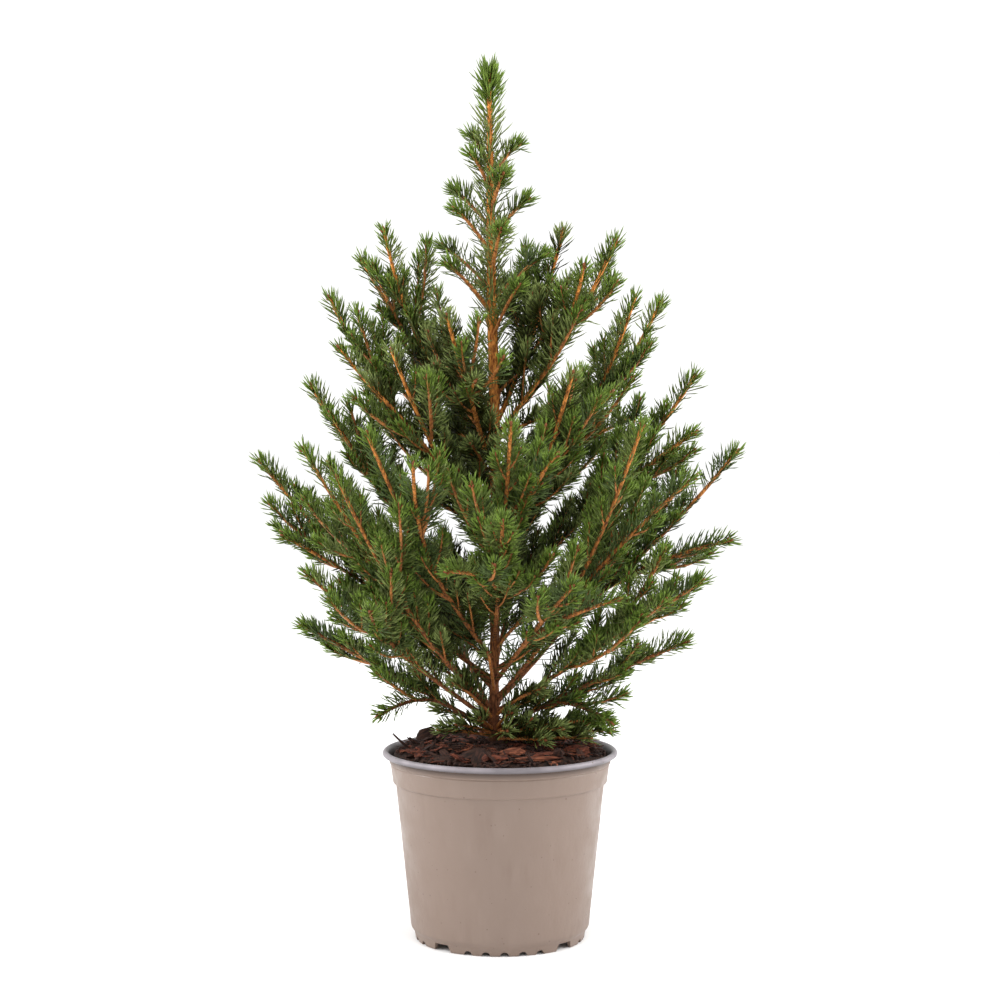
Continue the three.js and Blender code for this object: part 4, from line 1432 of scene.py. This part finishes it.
def on_mulch(reach, turn, lift):
    """Points over the mulch, by their reach from the axis and their turn round it."""
    return np.column_stack([reach * np.cos(turn), reach * np.sin(turn), mulch_height(reach) + lift])


def turned_rows(yaw, lean, roll):
    """The three directions of a thing that is turned on the spot, leaned up along its length and rolled."""
    cos, sin = np.cos, np.sin
    along = np.stack([cos(yaw) * cos(lean), sin(yaw) * cos(lean), sin(lean)], axis=-1)
    level = np.stack([-sin(yaw), cos(yaw), np.zeros_like(yaw)], axis=-1)
    normal = np.cross(along, level)
    wide = level * cos(roll)[..., None] + normal * sin(roll)[..., None]
    return along, wide, np.cross(along, wide)


class SPRUCE_OT_fill_mulch(bpy.types.Operator):
    """Fills the pot with fine mulch and lays bark chips, fibres and crumbs on it"""

    bl_idname = "spruce.fill_mulch"
    bl_label = "Fill with mulch"

    def execute(self, context):
        settings = context.scene.spruce.pot
        self.lay_ground(settings)
        tones = {
            tone: chip_finish(tone, from_screen(*light), from_screen(*dark))
            for tone, (light, dark) in CHIP_COLOURS.items()
        }
        self.lay_chips(settings, tones)
        self.lay_fibres(settings, tones)
        self.lay_crumbs(settings, tones["dark"])
        self.lay_stick(tones["dark"])
        return {"FINISHED"}

    def lay_ground(self, settings):
        edge = MULCH_SURFACE[0][0]
        rings = [(reach, float(mulch_height(reach))) for reach in np.linspace(edge, 1.0, MULCH_RINGS)]
        ground = raise_rings([MULCH_FOOT, MULCH_WALL, *rings], MULCH_SIDES)
        top = ground.vertex_groups.new(name="surface")
        for vertex in ground.data.vertices:
            reach = math.hypot(vertex.co.x, vertex.co.y) / MM
            if vertex.co.z > ROUGH_MULCH["over"] * MM and reach < ROUGH_MULCH["within"]:
                share = (ROUGH_MULCH["within"] - reach) / ROUGH_MULCH["fade"]
                top.add([vertex.index], min(1, share), "REPLACE")
        for name, kind, size, depth in MULCH_RELIEF:
            displace(ground, name, kind, size, depth, group="surface")
        apply_modifiers(ground)
        bpy.ops.object.shade_smooth_by_angle(angle=math.radians(MULCH_SMOOTHING))
        settle(ground, "mulch_ground", mulch_finish(settings), "bark_mulch", "soil")

    def chip_template(self, number):
        """A torn flake: a block with broken edges and uneven faces, one millimetre in each direction."""
        bpy.ops.object.select_all(action="DESELECT")
        bpy.ops.mesh.primitive_cube_add(size=1, enter_editmode=True)
        bpy.ops.mesh.select_all(action="SELECT")
        bpy.ops.mesh.subdivide(number_cuts=2)
        points, faces = self.broken_shape(CHIP_BREAK["corners"], number + 1)
        points[:, 0] *= 1 - CHIP_BREAK["sides"] * np.abs(points[:, 1])
        points[:, 1:] *= (1 - CHIP_BREAK["ends"] * np.abs(points[:, 0]))[:, None]
        points[:, 2] += CHIP_BREAK["cup"] * points[:, 0] ** 2 * (number - 1)
        return points, faces

    def broken_shape(self, offset, seed):
        """The points and faces of what is in edit mode, once its points are moved about. Its object goes."""
        bpy.ops.transform.vertex_random(offset=offset, seed=seed)
        bpy.ops.object.mode_set(mode="OBJECT")
        shape = bpy.context.object
        points = np.array([vertex.co for vertex in shape.data.vertices])
        faces = np.array([polygon.vertices for polygon in shape.data.polygons])
        bpy.data.objects.remove(shape)
        return points, faces

    def scatter(self, name, templates, places, sizes, axes, picks, material):
        """Copies of the templates at their places, as one piece."""
        points, faces, own = [], [], []
        count = 0
        for index, (place, size, pick) in enumerate(zip(places, sizes, picks)):
            shape, shape_faces = templates[pick]
            stretched = shape * size
            along, wide, thick = (axis[index] for axis in axes)
            points.append(place + stretched @ np.stack([along, wide, thick]))
            own.append(stretched * GRAIN_STRETCH + index * GRAIN_APART)
            faces.append(shape_faces + count)
            count += len(shape)
        loose = mesh_from_arrays(name, np.concatenate(points), [np.concatenate(faces)], smooth=False)
        self.settle_loose(loose, name, np.concatenate(own), material)

    def settle_loose(self, loose, name, own, material):
        """Keeps each point's place in its own copy, which the finish reads, and settles the piece."""
        attribute = loose.data.attributes.new("own_place", "FLOAT_VECTOR", "POINT")
        attribute.data.foreach_set("vector", (own * MM).astype(np.float32).ravel())
        settle(loose, name, material, "bark_mulch")

    def lay_chips(self, settings, tones):
        templates = [self.chip_template(number) for number in range(CHIP_KINDS)]
        random = np.random.default_rng(SEED + SEEDS["chips"])
        count, heaped_count = settings.chip_count, settings.heap_count
        reach = CHIP["reach"] * np.sqrt(random.uniform(FREE_MIDDLE, 1, count))
        turn = random.uniform(0, 2 * math.pi, count)
        sizes = np.column_stack([random.uniform(*CHIP[side], count) for side in ("length", "width", "thick")])
        sizes *= np.where(reach > EDGE_CHIP["from"], EDGE_CHIP["share"], 1)[:, None]
        reach = np.minimum(reach, CHIP_EDGE["reach"] - sizes[:, 0] * CHIP_EDGE["inset"])
        places = on_mulch(reach, turn, CHIP["lift"])
        yaw = random.uniform(0, 2 * math.pi, count)
        lean = random.normal(0, CHIP_TILT["lean"], count)
        roll = random.normal(0, CHIP_TILT["roll"], count)
        tone = random.choice(len(CHIP_TONES), count, p=CHIP_SHARES)
        heaped = slice(0, heaped_count)
        reach[heaped] = random.uniform(*HEAPED_CHIP["reach"], heaped_count)
        lean[heaped] = np.abs(random.normal(HEAPED_CHIP["lean"], HEAPED_CHIP["spread"], heaped_count))
        tone[heaped] = random.choice(len(CHIP_TONES), heaped_count, p=HEAPED_SHARES)
        places[heaped] = on_mulch(reach[heaped], turn[heaped], HEAPED_CHIP["lift"])
        features = np.array([row[:9] for row in FEATURE_CHIPS], float)
        height = mulch_height(np.hypot(features[:, 0], features[:, 1])) + features[:, 8]
        places = np.concatenate([places, np.column_stack([features[:, :2], height])])
        sizes = np.concatenate([sizes, features[:, 2:5]])
        tilts = np.concatenate([np.stack([yaw, lean, roll], axis=1), np.radians(features[:, 5:8])])
        tone = np.concatenate([tone, [CHIP_TONES.index(row[9]) for row in FEATURE_CHIPS]])
        axes = turned_rows(*tilts.T)
        picks = np.arange(len(places)) % CHIP_KINDS
        for number, name in enumerate(CHIP_TONES):
            own = tone == number
            turned = [axis[own] for axis in axes]
            piece = "bark_chips_" + name
            self.scatter(piece, templates, places[own], sizes[own], turned, picks[own], tones[name])

    def lay_fibres(self, settings, tones):
        """Long torn fibres: slim strips that bend over the ground."""
        random = np.random.default_rng(SEED + SEEDS["fibres"])
        count, rings = settings.fibre_count, FIBRE_FORM["rings"]
        length = random.uniform(*FIBRE["length"], count)
        reach = FIBRE["reach"] * np.sqrt(random.uniform(FREE_MIDDLE, 1, count))
        turn = random.uniform(0, 2 * math.pi, count)
        reach = np.minimum(reach, FIBRE["edge"] - length / 2)
        middle = on_mulch(reach, turn, FIBRE["lift"])
        yaw = random.uniform(0, 2 * math.pi, count)
        lean = random.normal(0, FIBRE_TILT["lean"], count)
        roll = random.normal(0, FIBRE_TILT["roll"], count)
        along, wide, thick = turned_rows(yaw, lean, roll)
        bend = random.normal(0, FIBRE_FORM["bend"], count)
        width = random.uniform(*FIBRE["width"], count)
        tone = random.choice(len(CHIP_TONES), count, p=FIBRE_SHARES)
        points = []
        for step in np.linspace(-0.5, 0.5, rings):
            centre = middle + along * (length * step)[:, None] + wide * (bend * length * step**2)[:, None]
            half = (width * (0.5 - FIBRE_FORM["taper"] * abs(step)))[:, None]
            for across, over in ((-1, 1), (1, 1), (1, -1), (-1, -1)):
                points.append(centre + wide * half * across + thick * half * over * FIBRE_FORM["thick"])
        points = np.stack(points, axis=1)
        last = 4 * (rings - 1)
        faces = np.array([*tube_faces(rings, 4), [3, 2, 1, 0], [last, last + 1, last + 2, last + 3]])
        for number, name in enumerate(CHIP_TONES):
            chosen = points[tone == number]
            piece = "bark_fibres_" + name
            fibres = copies_mesh(piece, chosen, [faces[:, ::-1]], smooth=False)
            self.settle_loose(fibres, piece, chosen.reshape(-1, 3), tones[name])

    def lay_crumbs(self, settings, material):
        bpy.ops.object.select_all(action="DESELECT")
        bpy.ops.mesh.primitive_ico_sphere_add(subdivisions=1, radius=0.5, enter_editmode=True)
        bpy.ops.mesh.select_all(action="SELECT")
        crumb = self.broken_shape(CRUMB["break"], CRUMB["seed"])
        random = np.random.default_rng(SEED + SEEDS["crumbs"])
        count = settings.crumb_count
        reach = CRUMB["reach"] * np.sqrt(random.uniform(0, 1, count))
        turn = random.uniform(0, 2 * math.pi, count)
        sizes = random.uniform(*CRUMB["size"], (count, 1)) * random.uniform(*CRUMB["stretch"], (count, 3))
        axes = turned_rows(*random.uniform(0, 2 * math.pi, (3, count)))
        picks = np.zeros(count, int)
        places = on_mulch(reach, turn, CRUMB["lift"])
        self.scatter("mulch_crumbs", [crumb], places, sizes, axes, picks, material)

    def lay_stick(self, material):
        """A short dark stick that leans over the rim's left side."""
        stick = stem_object("mulch_stick", [(np.array(STICK_COURSE), STICK_RADII)], sides_step=1)
        displace(stick, "torn", "CLOUDS", size=1.5, strength=0.6)
        apply_modifiers(stick)
        settle(stick, "mulch_stick", material, "bark_mulch")


class SPRUCE_OT_shape_wood(bpy.types.Operator):
    """Shapes the trunk and the boughs with the relief of their bark"""

    bl_idname = "spruce.shape_wood"
    bl_label = "Shape trunk and boughs"

    def execute(self, context):
        settings = context.scene.spruce.wood
        bark = bark_finish(settings)
        self.shape_trunk(settings, bark)
        self.shape_boughs(settings, bark)
        return {"FINISHED"}

    def shape_trunk(self, settings, bark):
        ups = np.linspace(0, TRUNK_HEIGHT, TRUNK_RINGS)
        points = trunk_places(ups)
        radii = trunk_radius(ups) * np.interp(ups, *TRUNK_SLIMMING)
        for whorl, swelling in WHORLS:
            radii += swelling * np.exp(-(((ups - whorl) / WHORL_SPREAD) ** 2))
        points = np.concatenate([[points[0] - UP * TRUNK_SUNK["depth"]], points])
        radii = np.concatenate([[radii[0] + TRUNK_SUNK["wider"]], radii])
        trunk = stem_object("trunk", [(points, radii)], sides_step=8)
        relief = settings.relief / MM
        displace(trunk, "plates", "CLOUDS", size=3.4, strength=relief)
        displace(trunk, "pegs", "CLOUDS", size=1.1, strength=relief * 0.5)
        apply_modifiers(trunk)
        settle(trunk, "trunk_bark", bark, "bark", "trunk")

    def shape_boughs(self, settings, bark):
        courses = []
        for shoot in crown().shoots:
            if shoot.rank in COLLAR:
                points, radii = shoot_course(shoot, stem_radius_of(shoot, settings), spacing=2.2)
                reach = np.linalg.norm(points - points[0], axis=1)
                swelling = COLLAR[shoot.rank] * np.exp(-reach / COLLAR_SPREAD)
                courses.append((points, radii * (1 + swelling)))
        boughs = stem_object("boughs", courses, sides_step=3)
        displace(boughs, "bough_pegs", "CLOUDS", size=1.2, strength=0.42)
        apply_modifiers(boughs)
        settle(boughs, "bough_bark", bark, "bark", *BOUGH_NODES)


class SPRUCE_OT_grow_twigs(bpy.types.Operator):
    """Grows the side shoots and finer twigs, and sets a bud on every tip"""

    bl_idname = "spruce.grow_twigs"
    bl_label = "Grow twigs and buds"

    def execute(self, context):
        settings = context.scene.spruce.wood
        finish = twig_finish(settings)
        plan = crown()
        fine = [shoot for shoot in plan.twigs if shoot.rank == "twig"]
        strong = [shoot for shoot in plan.shoots if shoot.rank in ("side", "sprig")]
        strong += [shoot for shoot in plan.twigs if shoot.rank == "sprig"]
        self.make_stems("side_shoots", strong, settings, finish, spacing=3.0, sides_step=1)
        self.make_stems("fine_twigs", fine, settings, finish, spacing=3.4, sides_step=0)
        self.set_buds(settings, plan)
        return {"FINISHED"}

    def make_stems(self, name, shoots, settings, finish, spacing, sides_step):
        courses = [shoot_course(shoot, stem_radius_of(shoot, settings), spacing) for shoot in shoots]
        stems = stem_object(name, courses, sides_step)
        displace(stems, name + "_pegs", "CLOUDS", size=1.0, strength=0.3)
        apply_modifiers(stems)
        settle(stems, name, finish, "bark")

    def set_buds(self, settings, plan):
        """A pointed bud on each tip, and two smaller ones beside it on the stronger shoots."""
        tips = []
        random = np.random.default_rng(SEED + SEEDS["buds"])
        for shoot in [*plan.shoots, *plan.twigs]:
            if shoot.sweep is None:
                tips.append((trunk_place(TRUNK_HEIGHT), UP, BUD_SIZES["leader"]))
                continue
            end, along = shoot.sweep.point(1.0), shoot.sweep.tangent(1.0)
            strength = "twig" if shoot.rank == "twig" else "strong"
            tips.append((end, along, BUD_SIZES[strength]))
            for _ in range(BESIDE["count"] if strength == "strong" else 0):
                aside = unit(np.cross(along, random.normal(0, 1, 3))) * BESIDE["out"]
                tips.append((end - along * BESIDE["back"] + aside, unit(along + aside), BUD_SIZES["beside"]))
        points = np.array([self.bud_points(*tip) for tip in tips])
        buds = copies_mesh("buds", points, spike_faces(len(BUD_RINGS), BUD_SIDES))
        settle(buds, "buds", bud_finish(settings), "bark")

    def bud_points(self, place, along, size):
        first = unit(np.cross(along, BUD_FACING))
        second = np.cross(along, first)
        rings = [
            place + (along * up + (first * math.cos(turn) + second * math.sin(turn)) * wide) * size
            for up, wide in BUD_RINGS
            for turn in np.arange(BUD_SIDES) * 2 * math.pi / BUD_SIDES
        ]
        return [*rings, place + along * BUD_TIP * size]


class SPRUCE_OT_grow_needles(bpy.types.Operator):
    """Grows the needles on every shoot and deals their colours out by spray"""

    bl_idname = "spruce.grow_needles"
    bl_label = "Grow needles"

    def execute(self, context):
        settings = context.scene.spruce.needles
        wood = context.scene.spruce.wood
        plan = crown()
        dealt = {tone: [] for tone in TONES}
        for number, shoot in enumerate([*plan.shoots, *plan.twigs]):
            random = np.random.default_rng(SEED + SEEDS["needles"] + number)
            if shoot.sweep is None:
                rows, young = leader_needles(settings, random)
                tone = "fresh"
            else:
                rows, young = shoot_needles(shoot, settings, stem_radius_of(shoot, wood), random)
                tone = self.tone_of(shoot, random)
            young_tone = "fresh" if tone == "inner" else "tip"
            reach = rows[:, DIRECTION] * rows[:, LENGTH]
            middles = rows[:, FOOT] + reach / 2
            clear = (rows[:, FOOT] + reach)[:, 2] > CROWN_FOOT + NEEDLE_CLEARANCE
            clear &= ~in_gaps(middles, SKY_GAPS)
            clear &= ~(in_gaps(middles, TRUNK_GAPS) & (middles[:, 1] < 0))
            dealt[tone].append(rows[~young & clear])
            dealt[young_tone].append(rows[young & clear])
        for tone, groups in dealt.items():
            finish = needle_finish(tone, getattr(settings, tone))
            rows = np.concatenate(groups)
            parts = math.ceil(len(rows) * NEEDLE_FACES / PIECE_LIMIT)
            for part, chosen in enumerate(np.array_split(rows, parts)):
                name = f"needles_{tone}_{part + 1}"
                settle(needle_mesh(name, chosen), name, finish, "needles", *FOLIAGE_NODES)
        return {"FINISHED"}

    def tone_of(self, shoot, random):
        """Old needles near the trunk are darkest, partly painted shade; the other sprays vary."""
        middle = shoot.axis[len(shoot.axis) // 2]
        height = middle[2] - CROWN_FOOT
        depth = math.hypot(middle[0] - CROWN_MIDDLE, middle[1]) / np.interp(height, *CROWN_RADII)
        if depth < OLD_SHADED_NEEDLES["within"] and height < OLD_SHADED_NEEDLES["under"]:
            return "inner"
        return OUTER_TONES[int(random.integers(len(OUTER_TONES)))]


class SPRUCE_OT_set_stage(bpy.types.Operator):
    """Sets up the pale floor, the soft lights and the camera"""

    bl_idname = "spruce.set_stage"
    bl_label = "Set stage"

    def execute(self, context):
        settings = context.scene.spruce.stage
        self.lay_floor(settings)
        self.hang_lights(settings)
        self.place_camera(context.scene, settings)
        self.light_room(context.scene, settings)
        return {"FINISHED"}

    def lay_floor(self, settings):
        """A wide round floor, as white as the light round it, so that no horizon shows."""
        bpy.ops.object.select_all(action="DESELECT")
        bpy.ops.mesh.primitive_circle_add(
            vertices=FLOOR_SIDES, radius=settings.floor_radius, fill_type="NGON"
        )
        floor = bpy.context.object
        finish = Finish("studio_floor", roughness=0.9, specular=0.2)
        finish.shader.inputs["Emission Color"].default_value = (1, 1, 1, 1)
        finish.shader.inputs["Emission Strength"].default_value = settings.floor_glow
        drift = finish.patches(scale=0.6, softness=0.4)
        finish.colour(finish.blend(drift, settings.floor, shaded(settings.floor, share=0.99)))
        floor.name = "studio_floor"
        floor.data.materials.append(finish.material)

    def hang_lights(self, settings):
        for name, place, size, power in LIGHTS:
            light = bpy.data.lights.new(name, "AREA")
            light.shape = "DISK"
            light.size = size
            light.energy = getattr(settings, power)
            lamp = add_object(name, light)
            lamp.location = place
            aim = np.array(LIGHT_AIM) - np.array(place)
            tilt = math.acos(-aim[2] / np.linalg.norm(aim))
            lamp.rotation_euler = (tilt, 0, math.atan2(-aim[0], aim[1]))

    def place_camera(self, scene, settings):
        data = bpy.data.cameras.new("camera")
        data.lens = settings.lens
        data.dof.use_dof = False
        camera = add_object("camera", data)
        camera.location = (0, -settings.distance, settings.height)
        pitch = math.atan2(settings.height - settings.aim, settings.distance)
        camera.rotation_euler = (math.pi / 2 - pitch, 0, 0)
        scene.camera = camera
        scene.view_settings.view_transform = "Standard"

    def light_room(self, scene, settings):
        """Even white light from all round."""
        world = bpy.data.worlds.new("studio")
        world.use_nodes = True
        background = world.node_tree.nodes["Background"]
        background.inputs["Color"].default_value = (1, 1, 1, 1)
        background.inputs["Strength"].default_value = settings.room_light
        scene.world = world


STEPS = (
    SPRUCE_OT_make_pot,
    SPRUCE_OT_fill_mulch,
    SPRUCE_OT_shape_wood,
    SPRUCE_OT_grow_twigs,
    SPRUCE_OT_grow_needles,
    SPRUCE_OT_set_stage,
)


class SPRUCE_PT_maker(bpy.types.Panel):
    """Buttons and settings of the potted spruce"""

    bl_label = "Potted spruce"
    bl_space_type = "VIEW_3D"
    bl_region_type = "UI"
    bl_category = "Spruce"

    def draw(self, context):
        for step in STEPS:
            self.layout.operator(step.bl_idname)
        for name in ("pot", "wood", "needles", "stage"):
            group = getattr(context.scene.spruce, name)
            box = self.layout.box()
            for setting in group.__annotations__:
                box.prop(group, setting)


CLASSES = (
    SprucePotSettings,
    SpruceWoodSettings,
    SpruceNeedleSettings,
    SpruceStageSettings,
    SpruceSettings,
    *STEPS,
    SPRUCE_PT_maker,
)


def register():
    for item in CLASSES:
        bpy.utils.register_class(item)
    bpy.types.Scene.spruce = bpy.props.PointerProperty(type=SpruceSettings)


def unregister():
    del bpy.types.Scene.spruce
    for item in reversed(CLASSES):
        bpy.utils.unregister_class(item)


def main():
    register()
    bpy.ops.spruce.make_pot()
    bpy.ops.spruce.fill_mulch()
    bpy.ops.spruce.shape_wood()
    bpy.ops.spruce.grow_twigs()
    bpy.ops.spruce.grow_needles()
    bpy.ops.spruce.set_stage()
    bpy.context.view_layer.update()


if __name__ == "__main__":
    main()
